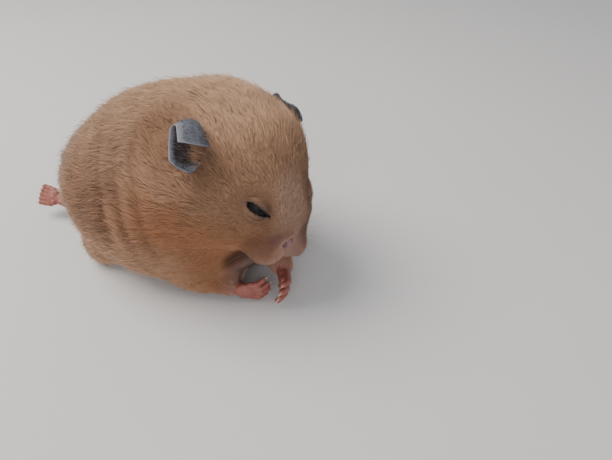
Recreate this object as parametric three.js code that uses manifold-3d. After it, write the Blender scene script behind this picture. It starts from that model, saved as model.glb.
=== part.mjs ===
// A Syrian hamster, life size, crouched over its hands, its right hind leg stretched out behind.
// Millimetres. +Z is up and the floor is Z = 0. The animal faces -Y, so its left side is +X.
//
// Each solid shows the outer surface of the coat, out to the hair tips. Bare parts, which are the
// hands, feet, nose and tail, show the skin. The flesh is one smooth field of blended ellipsoids
// and tapered limbs. A field is meshed by loops, then parted with thin cuts into named pieces.

import * as THREE from 'three';
import Module from 'manifold-3d';

const wasm = await Module();
wasm.setup();

const V = (x, y, z) => new THREE.Vector3(x, y, z);
const rad = THREE.MathUtils.degToRad;

// ---------------------------------------------------------------- driving dimensions

const GAP = 0.3;                       // clearance between neighbouring solids
const FACET_RISE = 0.85;               // how far a flat facet may stand out of a hollow curve
const CELL = {                         // size of the mesh's cells
  trunk: 4.9, neck: 4.2, head: 3.05, limb: 3.5, butt: 2.2, hand: 1.3, foot: 1.5, tail: 2.2,
};

// The head has its own frame: the origin lies midway between the roots of the ears.
const HEAD_AT = V(0, 0, 42);
const HEAD_TURN = { pitch: 23.7, yaw: 21, roll: -11 };     // nose down, nose right, left side down

const EYE = { left: 7.8, forward: 17.0, up: 2.7, radius: 3.7 };
const NOSE = { left: -0.2, forward: 26.3, up: -6.0, radii: [2.3, 1.8, 1.7] };
const EAR = { length: 11.8, width: 15.5, thickness: 0.9, sunk: 3 };
const EARS = {                         // left, forward and up in the head's frame
  right: {
    root: [-17.7, 3.3, 9.8], along: [-0.88, -0.40, 0.06], open: [-0.19, 0.5, 0.84],
    curl: 0.05, fold: 2.7, square: 0.72, upper: 1, lower: 1.12,
  },
  left: {
    root: [13.4, -3.0, 9.5], along: [0.47, -0.8, 0.12], open: [0.25, 0.6, 0.75],
    curl: 0.7, fold: 1.4, square: 0.88, upper: 1, lower: 0.75,
  },
};

const ARM = {
  right: { shoulder: V(-14, 8, 20), elbow: V(-16, 10.5, 7.4), wrist: V(-15.2, -2.5, 5.6) },
  left: { shoulder: V(9, 2, 20), elbow: V(9, 0, 8), wrist: V(-1.5, -13.5, 6.8) },
  radius: { shoulder: 9.5, elbow: 6.4, wrist: 4.0 },
};
const HAND = {
  right: { palm: V(-14.7, -7.8, 4.7), point: V(0.46, -0.88, 0.05), row: V(-0.25, 0.05, 0.96) },
  left: { palm: V(-6, -17.2, 6.2), point: V(-0.85, -0.5, 0), row: V(0.15, -0.25, 0.96) },
  radii: [3.8, 3.9, 2.0],
  fingerCount: 4,
  halfRow: 3.1,
  reach: 2.8,
  fillet: 1.6,
  finger: { root: 1.15, tip: 1.0, length: 4.2, curl: 2.6 },
};
const LEG = {
  right: { hip: V(-13, 42, 17), knee: V(-18.2, 45, 8), heel: V(-9, 70.8, 7.2) },
  left: { hip: V(12, 44, 17), knee: V(17, 34, 11), heel: V(17, 50, 4.4) },
  radius: { hip: 14, knee: 7.4, heel: 4.2 },
};
const FOOT = {
  right: { toes: V(-12.2, 87, 8.6), sole: V(-0.72, -0.2, 0.66) },
  left: { toes: V(23, 30, 1.9), sole: V(0, 0, -1) },
  halfWidth: 3.3,
  thickness: 1.8,
  toeCount: 5,
  halfRow: 2.6,
  reach: 0.8,
  fillet: 0.7,
  pad: [1.1, 1.1, 0.9],
  toe: { root: 1.15, tip: 1.0, length: 4.6 },
};
const CLAW = { length: 1.8, radius: 0.36, gap: 0.2 };
const TAIL = { root: V(-1, 61, 12), tip: V(1.5, 73.5, 7), radius: { root: 2.6, tip: 1.3 } };

// ---------------------------------------------------------------- frames

function headAxes() {
  const turned = new THREE.Matrix4().makeRotationZ(-rad(HEAD_TURN.yaw));
  const level = V(0, -1, 0).applyMatrix4(turned);
  const side = V(1, 0, 0).applyMatrix4(turned);
  const up = V(0, 0, 1);
  const forward = level.clone().multiplyScalar(Math.cos(rad(HEAD_TURN.pitch)))
    .addScaledVector(up, -Math.sin(rad(HEAD_TURN.pitch)));
  const crown = level.clone().multiplyScalar(Math.sin(rad(HEAD_TURN.pitch)))
    .addScaledVector(up, Math.cos(rad(HEAD_TURN.pitch)));
  const roll = rad(HEAD_TURN.roll);
  return {
    forward,
    left: side.clone().multiplyScalar(Math.cos(roll)).addScaledVector(crown, Math.sin(roll)),
    up: crown.clone().multiplyScalar(Math.cos(roll)).addScaledVector(side, -Math.sin(roll)),
  };
}
const HEAD = headAxes();
const HEAD_AXES = [HEAD.left, HEAD.forward, HEAD.up];
const BODY_AXES = [V(1, 0, 0), V(0, 1, 0), V(0, 0, 1)];

// A point given in the head's own frame.
function inHead(left, forward, up) {
  return HEAD_AT.clone()
    .addScaledVector(HEAD.left, left)
    .addScaledVector(HEAD.forward, forward)
    .addScaledVector(HEAD.up, up);
}

// ---------------------------------------------------------------- fields of distance

// An ellipsoid, close to a true distance near its surface. The radii go with the three axes.
function ellipsoid(centre, radii, axes = BODY_AXES) {
  return (p) => {
    const from = p.clone().sub(centre);
    let size = 0;
    let slope = 0;
    axes.forEach((axis, i) => {
      const share = from.dot(axis) / radii[i];
      size += share ** 2;
      slope += (share / radii[i]) ** 2;
    });
    size = Math.sqrt(size);
    return slope < 1e-9 ? -Math.min(...radii) : (size * (size - 1)) / Math.sqrt(slope);
  };
}

// A round limb that tapers evenly from one radius to the other.
function limb(a, b, radiusA, radiusB) {
  const along = b.clone().sub(a);
  return (p) => {
    const t = THREE.MathUtils.clamp(p.clone().sub(a).dot(along) / along.lengthSq(), 0, 1);
    const nearest = a.clone().addScaledVector(along, t);
    return p.distanceTo(nearest) - THREE.MathUtils.lerp(radiusA, radiusB, t);
  };
}

// Joins fields with a fillet about as wide as `soft`.
function blend(soft, ...fields) {
  return (p) => fields.map((f) => f(p)).reduce((d, e) => {
    const near = Math.max(soft - Math.abs(d - e), 0) / soft;
    return Math.min(d, e) - near * near * soft * 0.25;
  });
}

function boxField(low, high) {
  const beyond = (p, k) => Math.max(low[k] - p[k], p[k] - high[k]);
  return (p) => Math.max(beyond(p, 'x'), beyond(p, 'y'), beyond(p, 'z'));
}

const grown = (field, by) => (p) => field(p) - by;
const bothSides = (make) => [make(-1), make(1)];

// ---------------------------------------------------------------- the flesh

const cranium = ellipsoid(inHead(0.5, -0.8, 1.8), [19, 20, 18], HEAD_AXES);
const brow = ellipsoid(inHead(0, 11.5, 0.5), [12.6, 13.6, 10.3], HEAD_AXES);
const muzzle = ellipsoid(inHead(0.9, 17.6, -5.2), [11.9, 9.0, 7.9], HEAD_AXES);
const whiskerPads = [[-4.0, 23.2, -10.2], [5.8, 24.2, -11.4]]
  .map((at) => ellipsoid(inHead(...at), [5.7, 6.2, 5.4], HEAD_AXES));
const chin = ellipsoid(inHead(0.9, 18.6, -12.0), [6.0, 6.6, 4.2], HEAD_AXES);
const cheeks = bothSides((side) => ellipsoid(inHead(9.7 * side, 5.5, -6.0), [10, 14.5, 8.8], HEAD_AXES));
const headField = blend(7, blend(5, cranium, brow, ...cheeks), blend(3.6, muzzle, ...whiskerPads, chin));

const LEAN = rad(18);                  // the top of the shoulders leans forward, over the throat
const SHOULDER_AXES = BODY_AXES.map((axis) => axis.clone().applyAxisAngle(V(1, 0, 0), LEAN));
const shoulders = ellipsoid(V(-1, 12.2, 34.5), [27.4, 23.5, 30.2], SHOULDER_AXES);
const loin = ellipsoid(V(-3, 25.5, 32.4), [26, 24, 27.4]);
const rump = ellipsoid(V(-2.5, 35, 26), [27.5, 29.5, 25]);
const belly = ellipsoid(V(-2, 26, 15), [26, 34, 17]);
const chest = ellipsoid(V(-5, 8, 14), [14.5, 11, 12]);
const back = blend(8, shoulders, loin, rump);
const trunkField = blend(8, shoulders, loin, rump, belly, chest);

function armField({ shoulder, elbow, wrist }) {
  const r = ARM.radius;
  return blend(5, limb(shoulder, elbow, r.shoulder, r.elbow), limb(elbow, wrist, r.elbow, r.wrist));
}

function legField({ hip, knee, heel }) {
  const r = LEG.radius;
  return blend(7, limb(hip, knee, r.hip, r.knee), limb(knee, heel, r.knee, r.heel));
}

const SIDES = ['right', 'left'];
const arms = SIDES.map((side) => armField(ARM[side]));
const legs = SIDES.map((side) => legField(LEG[side]));
const flesh = blend(1.5, blend(6.5, back, headField), blend(4, trunkField, ...arms, ...legs));

// ---------------------------------------------------------------- meshing a field

// Surface nets: one vertex in each cell that the surface crosses, moved onto the surface.
function meshOfField(field, low, high, cell) {
  const count = ['x', 'y', 'z'].map((k) => Math.ceil((high[k] - low[k]) / cell) + 1);
  const at = (i, j, k) => V(low.x + i * cell, low.y + j * cell, low.z + k * cell);
  const index = (i, j, k) => (k * count[1] + j) * count[0] + i;
  const value = new Float64Array(count[0] * count[1] * count[2]);
  const eachCell = (from, visit) => {
    for (let k = from; k < count[2] - from; k++) {
      for (let j = from; j < count[1] - from; j++) {
        for (let i = from; i < count[0] - from; i++) visit(i, j, k);
      }
    }
  };
  eachCell(0, (i, j, k) => { value[index(i, j, k)] = field(at(i, j, k)); });

  const corners = [0, 1, 2, 3, 4, 5, 6, 7].map((c) => [c & 1, (c >> 1) & 1, c >> 2]);
  const differ = (a, b) => a.reduce((sum, v, i) => sum + Math.abs(v - b[i]), 0);
  const edges = corners.flatMap((a, i) => corners.slice(i + 1).filter((b) => differ(a, b) === 1)
    .map((b) => [a, b]));
  const vertexOfCell = new Int32Array(value.length).fill(-1);
  const positions = [];
  eachCell(0, (i, j, k) => {
    if (i === count[0] - 1 || j === count[1] - 1 || k === count[2] - 1) return;
    const middle = V(0, 0, 0);
    let crossings = 0;
    for (const [a, b] of edges) {
      const va = value[index(i + a[0], j + a[1], k + a[2])];
      const vb = value[index(i + b[0], j + b[1], k + b[2])];
      if ((va < 0) === (vb < 0)) continue;
      const start = at(i + a[0], j + a[1], k + a[2]);
      middle.add(start.lerp(at(i + b[0], j + b[1], k + b[2]), va / (va - vb)));
      crossings += 1;
    }
    if (crossings === 0) return;
    vertexOfCell[index(i, j, k)] = positions.length;
    positions.push(ontoSurface(field, middle.divideScalar(crossings), cell));
  });

  const triangles = [];
  const steps = [[1, 0, 0], [0, 1, 0], [0, 0, 1]];
  eachCell(1, (i, j, k) => {
    steps.forEach((s, axis) => {
      const inside = value[index(i, j, k)] < 0;
      if (inside === (value[index(i + s[0], j + s[1], k + s[2])] < 0)) return;
      const u = steps[(axis + 1) % 3];
      const v = steps[(axis + 2) % 3];
      const quad = [[0, 0], [1, 0], [1, 1], [0, 1]].map(([a, b]) => vertexOfCell[
        index(i - a * u[0] - b * v[0], j - a * u[1] - b * v[1], k - a * u[2] - b * v[2])]);
      addQuad(triangles, positions, inside ? quad : quad.reverse());
    });
  });
  return geometryOf(positions, triangles);
}

// Moves a point along the field's slope until it lies on the surface.
function ontoSurface(field, start, cell) {
  const p = start.clone();
  const nudge = cell * 0.05;
  for (let round = 0; round < 3; round++) {
    const d = field(p);
    const slope = V(
      field(V(p.x + nudge, p.y, p.z)) - d,
      field(V(p.x, p.y + nudge, p.z)) - d,
      field(V(p.x, p.y, p.z + nudge)) - d,
    ).divideScalar(nudge);
    p.add(slope.multiplyScalar(-d / Math.max(slope.lengthSq(), 0.05)).clampLength(0, cell * 0.3));
  }
  return p;
}

// Splits a quad along its shorter diagonal.
function addQuad(triangles, points, [a, b, c, d]) {
  if (points[a].distanceTo(points[c]) < points[b].distanceTo(points[d])) {
    triangles.push(a, b, c, a, c, d);
  } else {
    triangles.push(a, b, d, b, c, d);
  }
}

function geometryOf(points, triangles) {
  const geometry = new THREE.BufferGeometry();
  const coordinates = points.flatMap((p) => [p.x, p.y, p.z]);
  geometry.setAttribute('position', new THREE.Float32BufferAttribute(coordinates, 3));
  geometry.setIndex(triangles);
  return geometry;
}

// ---------------------------------------------------------------- solids

function solidOf(geometry) {
  return new wasm.Manifold(new wasm.Mesh({
    numProp: 3,
    vertProperties: new Float32Array(geometry.attributes.position.array),
    triVerts: new Uint32Array(geometry.index.array),
  }));
}

// The box from low to high holds the whole surface; two spare cells round it keep the mesh closed.
function fieldSolid(field, low, high, cell) {
  const spare = 2 * cell;
  return solidOf(meshOfField(field, low.clone().subScalar(spare), high.clone().addScalar(spare), cell));
}

// Everything on one side of a plane: the side that `towards` points to.
function halfSpace(point, towards, reach = 400) {
  const box = new THREE.BoxGeometry(reach, reach, reach);
  const turn = new THREE.Quaternion().setFromUnitVectors(V(0, 0, 1), towards.clone().normalize());
  box.translate(0, 0, reach / 2).applyQuaternion(turn).translate(point.x, point.y, point.z);
  return solidOf(closed(box));
}

// Merges the shared vertices of one of three.js's own shapes.
function closed(geometry) {
  const position = geometry.attributes.position;
  const seen = new Map();
  const points = [];
  const remap = [];
  for (let i = 0; i < position.count; i++) {
    const p = V(0, 0, 0).fromBufferAttribute(position, i);
    const key = [p.x, p.y, p.z].map((v) => Math.round(v * 1e4)).join();
    if (!seen.has(key)) {
      seen.set(key, points.length);
      points.push(p);
    }
    remap.push(seen.get(key));
  }
  const triangles = [];
  for (let t = 0; t < geometry.index.count; t += 3) {
    const [a, b, c] = [0, 1, 2].map((n) => remap[geometry.index.array[t + n]]);
    if (a !== b && b !== c && c !== a) triangles.push(a, b, c);
  }
  return geometryOf(points, triangles);
}

const ABOVE_FLOOR = halfSpace(V(0, 0, 0), V(0, 0, 1));

// ---------------------------------------------------------------- parting the flesh

const both = (f, g) => (p) => Math.max(f(p), g(p));
const plane = (point, towards) => ({ point, towards: towards.clone().normalize() });

// A region is all that lies on the inner side of its planes; `extra` moves them out.
function regionSolid(planes, extra = 0) {
  const halves = planes.map(({ point, towards }) => {
    const moved = point.clone().addScaledVector(towards, -extra);
    return halfSpace(moved, towards);
  });
  return halves.reduce((all, half) => all.intersect(half));
}

// The flesh within a region, less the regions taken before it, in a box that holds all of it.
const cutters = [];
function takeFlesh(planes, low, high, cell) {
  const rough = fieldSolid(both(flesh, boxField(low, high)), low, high, cell).intersect(ABOVE_FLOOR);
  const region = rough.intersect(regionSolid(planes));
  const piece = cutters.reduce((rest, cutter) => rest.subtract(cutter), region);
  cutters.push(regionSolid(planes, GAP));
  return piece;
}

// A bare piece that grows out of the flesh: what lies inside the flesh is cut off, with the gap.
function outOfFlesh(solid) {
  const { min, max } = solid.boundingBox();
  const low = V(...min).subScalar(1);
  const high = V(...max).addScalar(1);
  const clearance = both(grown(flesh, GAP + FACET_RISE), boxField(low, high));
  return solid.subtract(fieldSolid(clearance, low, high, CELL.butt));
}

// ---------------------------------------------------------------- small closed shapes

// A ball stretched along three axes.
function ball(centre, radii, axes = BODY_AXES, around = 16, down = 10) {
  const sphere = closed(new THREE.SphereGeometry(1, around, down));
  const stretched = axes.map((axis, i) => axis.clone().multiplyScalar(radii[i]));
  const frame = new THREE.Matrix4().makeBasis(...stretched);
  sphere.applyMatrix4(frame.setPosition(centre));
  if (frame.determinant() < 0) sphere.index.array.reverse();
  return solidOf(sphere);
}

// A claw: a cone from its root towards the point.
function claw(root, towards, radius, length) {
  const cone = closed(new THREE.ConeGeometry(radius, length, 6));
  cone.translate(0, length / 2, 0);
  cone.applyQuaternion(new THREE.Quaternion().setFromUnitVectors(V(0, 1, 0), towards.clone().normalize()));
  cone.translate(root.x, root.y, root.z);
  return solidOf(cone);
}

// ---------------------------------------------------------------- hands and feet

// Digits spread from a palm or sole. `point` runs along the digits and `row` across them.
const SPLAY = 0.14;                    // how far the outer digits turn away from the middle
const ARCH = 0.4;                      // how far the outer roots lie behind the middle
function digitRoots(centre, point, row, count, halfRow, reach) {
  return Array.from({ length: count }, (_, i) => {
    const across = (i / (count - 1)) * 2 - 1;
    return {
      root: centre.clone().addScaledVector(row, across * halfRow)
        .addScaledVector(point, reach * (1 - ARCH * across * across)),
      towards: point.clone().addScaledVector(row, across * SPLAY).normalize(),
    };
  });
}

// A digit is two short limbs, the second one tapering to the tip.
function digitFields({ root, knuckle, tip, thick, thin }) {
  return [limb(root, knuckle, thick, thick), limb(knuckle, tip, thick, thin)];
}

function handOf({ palm, point, row }, inward) {
  const along = point.clone().normalize();
  const face = row.clone().cross(along).normalize().multiplyScalar(inward);
  const across = along.clone().cross(face).normalize();
  const { root: thick, tip: thin, length, curl } = HAND.finger;
  const roots = digitRoots(palm, along, across, HAND.fingerCount, HAND.halfRow, HAND.reach);
  const digits = roots.map(({ root, towards }) => {
    const knuckle = root.clone().addScaledVector(towards, length * 0.5).addScaledVector(face, -0.2);
    const tip = knuckle.clone().addScaledVector(towards, length * 0.5).addScaledVector(face, curl * 0.6);
    return { root, knuckle, tip, end: tip.clone().sub(knuckle).normalize(), thick, thin };
  });
  const palmField = ellipsoid(palm, HAND.radii, [along, across, face]);
  const field = digits.flatMap(digitFields).reduce((all, f) => blend(HAND.fillet, all, f), palmField);
  return { digits, field };
}

function footOf(heel, { toes, sole }) {
  const along = toes.clone().sub(heel).normalize();
  const across = along.clone().cross(sole).normalize();
  const face = across.clone().cross(along).normalize();
  const { root: thick, tip: thin, length } = FOOT.toe;
  const ballOfFoot = toes.clone().addScaledVector(along, -length);
  const roots = digitRoots(ballOfFoot, along, across, FOOT.toeCount, FOOT.halfRow, FOOT.reach);
  const digits = roots.map(({ root, towards }) => {
    const knuckle = root.clone().addScaledVector(towards, length * 0.5).addScaledVector(face, -0.25);
    const tip = knuckle.clone().addScaledVector(towards, length * 0.4).addScaledVector(face, 0.35);
    return { root, knuckle, tip, end: tip.clone().sub(knuckle).normalize(), thick, thin };
  });
  const middle = heel.clone().lerp(ballOfFoot, 0.5);
  const half = heel.distanceTo(ballOfFoot) / 2 + 1.5;
  const soleField = blend(1.5,
    ellipsoid(middle, [half, FOOT.halfWidth * 0.82, FOOT.thickness], [along, across, face]),
    ellipsoid(ballOfFoot, [3.2, FOOT.halfWidth, FOOT.thickness], [along, across, face]));
  const pads = [[-0.7, -1.6], [0, -0.9], [0.7, -1.6], [-0.4, -4.6], [0.4, -5.4]].map(([side, back]) => {
    const at = ballOfFoot.clone().addScaledVector(across, side * 2.4).addScaledVector(along, back);
    at.addScaledVector(face, FOOT.thickness * 0.62);
    return ellipsoid(at, FOOT.pad, [along, across, face]);
  });
  const fields = [...digits.flatMap(digitFields), ...pads];
  return { digits, field: fields.reduce((all, f) => blend(FOOT.fillet, all, f), soleField) };
}

// ---------------------------------------------------------------- ears

// The pinna is a leaf of even thickness: `along` runs from root to tip and `open` out of its
// hollow side. Its lower half is cupped by `curl` and its upper half rolls over by `fold`, both
// the angle that the leaf has turned through at its edge.
function earOf({ root, along, open, curl, fold, square, upper, lower }, side) {
  const a = inHead(...along).sub(HEAD_AT).normalize();
  const across = a.clone().cross(inHead(...open).sub(HEAD_AT)).normalize().multiplyScalar(side);
  const face = across.clone().cross(a).normalize().multiplyScalar(side);
  const start = inHead(...root).addScaledVector(a, -EAR.sunk);
  const rows = 7;
  const columns = 10;
  const halfWidth = (t) => (EAR.width / 2) * Math.sin(Math.PI * (0.03 + square * t)) ** 0.6;
  const outline = [];
  for (let i = 0; i <= rows; i++) {
    const t = i / rows;
    const half = halfWidth(t);
    const row = [];
    for (const way of [-1, 1]) {
      const roll = way > 0 ? curl : fold;
      const step = (half * (way > 0 ? lower : upper)) / (columns / 2);
      const at = start.clone().addScaledVector(a, t * EAR.length);
      const stretch = [];
      for (let j = 0; j <= columns / 2; j++) {
        const turned = roll * (j / (columns / 2)) ** 1.2;
        const normal = face.clone().multiplyScalar(Math.cos(turned))
          .addScaledVector(across, -way * Math.sin(turned));
        stretch.push({ at: at.clone(), normal });
        at.addScaledVector(across, way * step * Math.cos(turned))
          .addScaledVector(face, step * Math.sin(turned));
      }
      if (way < 0) row.push(...stretch.slice(1).reverse());
      else row.push(...stretch);
    }
    outline.push(row);
  }
  return sheetSolid(outline, EAR.thickness);
}

// A closed sheet of even thickness about a grid of points with normals.
function sheetSolid(grid, thickness) {
  const rows = grid.length - 1;
  const columns = grid[0].length - 1;
  const points = [];
  const triangles = [];
  const layer = (lift) => {
    const first = points.length;
    grid.flat().forEach(({ at, normal }) => points.push(at.clone().addScaledVector(normal, lift)));
    return (i, j) => first + i * (columns + 1) + j;
  };
  const top = layer(thickness / 2);
  const under = layer(-thickness / 2);
  const quad = (p, q, r, s) => triangles.push(p, q, r, p, r, s);
  for (let i = 0; i < rows; i++) {
    for (let j = 0; j < columns; j++) {
      quad(top(i, j), top(i, j + 1), top(i + 1, j + 1), top(i + 1, j));
      quad(under(i, j), under(i + 1, j), under(i + 1, j + 1), under(i, j + 1));
    }
    quad(top(i, 0), top(i + 1, 0), under(i + 1, 0), under(i, 0));
    quad(top(i, columns), under(i, columns), under(i + 1, columns), top(i + 1, columns));
  }
  for (let j = 0; j < columns; j++) {
    quad(top(0, j), under(0, j), under(0, j + 1), top(0, j + 1));
    quad(top(rows, j), top(rows, j + 1), under(rows, j + 1), under(rows, j));
  }
  const sheet = solidOf(geometryOf(points, triangles));
  return sheet.volume() > 0 ? sheet : solidOf(geometryOf(points, triangles.reverse()));
}

// ---------------------------------------------------------------- the model

const MATERIAL = {
  coat: new THREE.MeshStandardMaterial({ color: 0xb98a63, roughness: 0.9 }),
  chest: new THREE.MeshStandardMaterial({ color: 0xa8713f, roughness: 0.9 }),
  skin: new THREE.MeshStandardMaterial({ color: 0xd29a90, roughness: 0.55 }),
  ear: new THREE.MeshStandardMaterial({ color: 0x6f737c, roughness: 0.7 }),
  eye: new THREE.MeshStandardMaterial({ color: 0x0b0c0c, roughness: 0.1 }),
  claw: new THREE.MeshStandardMaterial({ color: 0xe2d3c2, roughness: 0.4 }),
};
const model = new THREE.Group();

function addPiece(name, solid, material) {
  const { vertProperties, triVerts } = solid.getMesh();
  const geometry = new THREE.BufferGeometry();
  geometry.setAttribute('position', new THREE.Float32BufferAttribute(vertProperties, 3));
  geometry.setIndex(Array.from(triVerts));
  geometry.computeVertexNormals();
  const mesh = new THREE.Mesh(geometry, material);
  mesh.name = name;
  model.add(mesh);
}

function boxAround(points, reach) {
  const box = new THREE.Box3().setFromPoints(points).expandByScalar(reach);
  return [box.min, box.max];
}

// Head: in front of the nape and above the throat, with sockets for the eyes and the nose.
const NAPE = V(-0.15, -0.88, -0.45);
const headPlanes = [plane(inHead(0, -13, 0), NAPE), plane(inHead(0, 0, -17.5), HEAD.up)];
let head = takeFlesh(headPlanes, ...boxAround([inHead(0, 5, 0)], 36), CELL.head);
const EYE_FACETS = [14, 8];
bothSides((side) => {
  const centre = inHead(EYE.left * side, EYE.forward, EYE.up);
  const radii = (extra) => [0, 1, 2].map(() => EYE.radius + extra);
  head = head.subtract(ball(centre, radii(GAP), HEAD_AXES, ...EYE_FACETS));
  const eye = ball(centre, radii(0), HEAD_AXES, ...EYE_FACETS);
  addPiece(side < 0 ? 'eye_right' : 'eye_left', eye, MATERIAL.eye);
});
const noseAt = inHead(NOSE.left, NOSE.forward, NOSE.up);
const NOSE_FACETS = [10, 6];
head = head.subtract(ball(noseAt, NOSE.radii.map((r) => r + GAP), HEAD_AXES, ...NOSE_FACETS));
addPiece('nose', ball(noseAt, NOSE.radii, HEAD_AXES, ...NOSE_FACETS), MATERIAL.skin);
addPiece('head', head, MATERIAL.coat);

// Ears: the right one is laid back with its upper half rolled over, the left one stands up.
for (const side of SIDES) {
  const shape = EARS[side];
  const leaf = earOf(shape, side === 'right' ? 1 : -1);
  addPiece(`ear_${side}`, outOfFlesh(leaf), MATERIAL.ear);
}

// Limbs: the flesh low down on each side, round the forearm and round the thigh and shank.
const DOWN = V(0, 0, -1);
const forelegPlanes = {
  right: [plane(V(0, 0, 14.5), DOWN), plane(V(-9, 0, 0), V(-1, 0.1, 0)), plane(V(0, 18, 0), V(0, -1, 0))],
  left: [plane(V(0, 0, 14.5), DOWN), plane(V(-9, 0, 0), V(1, -0.1, 0)), plane(V(0, 9, 0), V(0, -1, 0))],
};
const BACKWARD = V(0, 1, 0);
const OUTWARD = V(-0.93, 0.36, 0);
const hindlegPlanes = {
  right: [plane(V(0, 0, 15.5), DOWN), plane(V(-9, 45, 0), OUTWARD), plane(V(0, 37, 0), BACKWARD)],
  left: [plane(V(0, 0, 21), DOWN), plane(V(7, 0, 0), V(1, 0, 0)), plane(V(0, 24, 0), BACKWARD)],
};
for (const side of SIDES) {
  const joints = Object.values(ARM[side]);
  const box = boxAround(joints, 16);
  addPiece(`foreleg_${side}`, takeFlesh(forelegPlanes[side], ...box, CELL.limb), MATERIAL.chest);
}
for (const side of SIDES) {
  const joints = Object.values(LEG[side]);
  const box = boxAround(joints, 20);
  addPiece(`hindleg_${side}`, takeFlesh(hindlegPlanes[side], ...box, CELL.limb), MATERIAL.coat);
}

// Neck: a thick slice behind the head and under the throat. The trunk is the flesh that is left.
const neckPlanes = [plane(inHead(0, -24, 0), NAPE), plane(inHead(0, 0, -20), HEAD.up)];
addPiece('neck', takeFlesh(neckPlanes, ...boxAround([inHead(0, -5, 0)], 42), CELL.neck), MATERIAL.coat);

const whole = fieldSolid(flesh, V(-36, -32, -3), V(34, 84, 68), CELL.trunk).intersect(ABOVE_FLOOR);
addPiece('trunk', cutters.reduce((rest, cutter) => rest.subtract(cutter), whole), MATERIAL.coat);

const tail = fieldSolid(limb(TAIL.root, TAIL.tip, TAIL.radius.root, TAIL.radius.tip),
  ...boxAround([TAIL.root, TAIL.tip], 5), CELL.tail);
addPiece('tail', outOfFlesh(tail), MATERIAL.skin);

// Hands and feet, each with its claws.
function addExtremity(kind, side, { digits, field }, root, cell) {
  let solid = fieldSolid(field, ...boxAround(digits.flatMap((d) => [d.root, d.tip, root]), 5), cell);
  digits.forEach(({ tip, end, thin }, i) => {
    const start = tip.clone().addScaledVector(end, thin * 0.7);
    const behind = start.clone().addScaledVector(end, -CLAW.gap);
    const hole = claw(behind, end, CLAW.radius + CLAW.gap, CLAW.length + 3 * CLAW.gap);
    solid = solid.subtract(hole);
    addPiece(`claw_${kind}_${side}_${i + 1}`, claw(start, end, CLAW.radius, CLAW.length), MATERIAL.claw);
  });
  addPiece(`${kind}_${side}`, outOfFlesh(solid.intersect(ABOVE_FLOOR)), MATERIAL.skin);
}
for (const side of SIDES) {
  addExtremity('hand', side, handOf(HAND[side], side === 'right' ? 1 : -1), ARM[side].wrist, CELL.hand);
  addExtremity('foot', side, footOf(LEG[side].heel, FOOT[side]), LEG[side].heel, CELL.foot);
}

// The origin is the middle of the outline seen from above, on the floor.
const extent = new THREE.Box3().setFromObject(model);
model.position.set(-(extent.min.x + extent.max.x) / 2, -(extent.min.y + extent.max.y) / 2, -extent.min.z);
model.updateMatrixWorld(true);

export default model;
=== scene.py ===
# %% [markdown]
# # A Syrian hamster, life size
# The imported solids hold the outer surface of the coat, the eyes and the claws. This lesson dresses
# them: one skin inside the solids of flesh, fur over it as solid tapered tufts, then eyes, claws,
# whiskers, light and camera. The head's place and the ends of the limbs come from the packed
# solids. The small shapes and the markings are numbers given one by one and measured from the head.

# %% Load the imported solids
import math

import bmesh
import bpy
import numpy as np
from mathutils import Matrix, Vector
from mathutils.kdtree import KDTree


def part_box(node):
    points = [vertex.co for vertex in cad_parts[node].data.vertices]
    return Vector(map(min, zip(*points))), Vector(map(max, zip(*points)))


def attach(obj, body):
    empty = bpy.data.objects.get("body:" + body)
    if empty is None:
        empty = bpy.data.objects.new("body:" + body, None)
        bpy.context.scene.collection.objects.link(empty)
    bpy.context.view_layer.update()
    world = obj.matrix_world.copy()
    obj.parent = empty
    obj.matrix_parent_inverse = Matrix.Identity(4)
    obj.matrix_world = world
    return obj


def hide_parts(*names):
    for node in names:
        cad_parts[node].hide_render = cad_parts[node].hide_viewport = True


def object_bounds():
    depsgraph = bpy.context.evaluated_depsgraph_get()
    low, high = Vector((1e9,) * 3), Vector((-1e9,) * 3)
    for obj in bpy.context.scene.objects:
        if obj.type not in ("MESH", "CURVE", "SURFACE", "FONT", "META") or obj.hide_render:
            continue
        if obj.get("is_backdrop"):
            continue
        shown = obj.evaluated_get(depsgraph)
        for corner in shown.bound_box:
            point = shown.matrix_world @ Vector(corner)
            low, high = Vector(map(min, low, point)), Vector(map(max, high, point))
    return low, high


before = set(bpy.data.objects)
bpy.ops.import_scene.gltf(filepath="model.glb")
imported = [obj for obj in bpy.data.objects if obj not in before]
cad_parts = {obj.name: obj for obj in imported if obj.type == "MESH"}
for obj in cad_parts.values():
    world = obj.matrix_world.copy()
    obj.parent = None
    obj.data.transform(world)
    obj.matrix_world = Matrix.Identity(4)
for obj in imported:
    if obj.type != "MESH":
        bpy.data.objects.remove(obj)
cad_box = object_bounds()
MM = 0.001
print("solids:", len(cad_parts))

# %% [markdown]
# Lengths below are millimetres, because a hamster is small. Points are rows of numpy arrays, so a
# rule such as "longer fur on the rump" is one line that works on every hair at once. A few helpers
# come up everywhere: a unit vector, a soft step from 0 to 1, a bell curve and a blend of values.


# %% Helpers for vectors and soft steps
def unit(v):
    v = np.asarray(v, float)
    return v / np.maximum(np.linalg.norm(v, axis=-1, keepdims=True), 1e-9)


def step(low, high, x):
    t = np.clip((np.asarray(x, float) - low) / (high - low), 0, 1)
    return t * t * (3 - 2 * t)


def blend(a, b, share):
    return a + (b - a) * share


def bell(x, width):
    return np.exp(-(x / width) ** 2)


def distance(points, place):
    return np.linalg.norm(points - place, axis=-1)


def along_tangent(direction, normal):
    return unit(direction - normal * np.sum(direction * normal, axis=-1, keepdims=True))


# %% [markdown]
# The head has its own frame, because it is bowed and turned: left, forward and up, with the origin
# between the ears. The two eyes give the left axis. The nose lies a known way ahead of the eyes
# and below them, and that fixes the other two.

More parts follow.
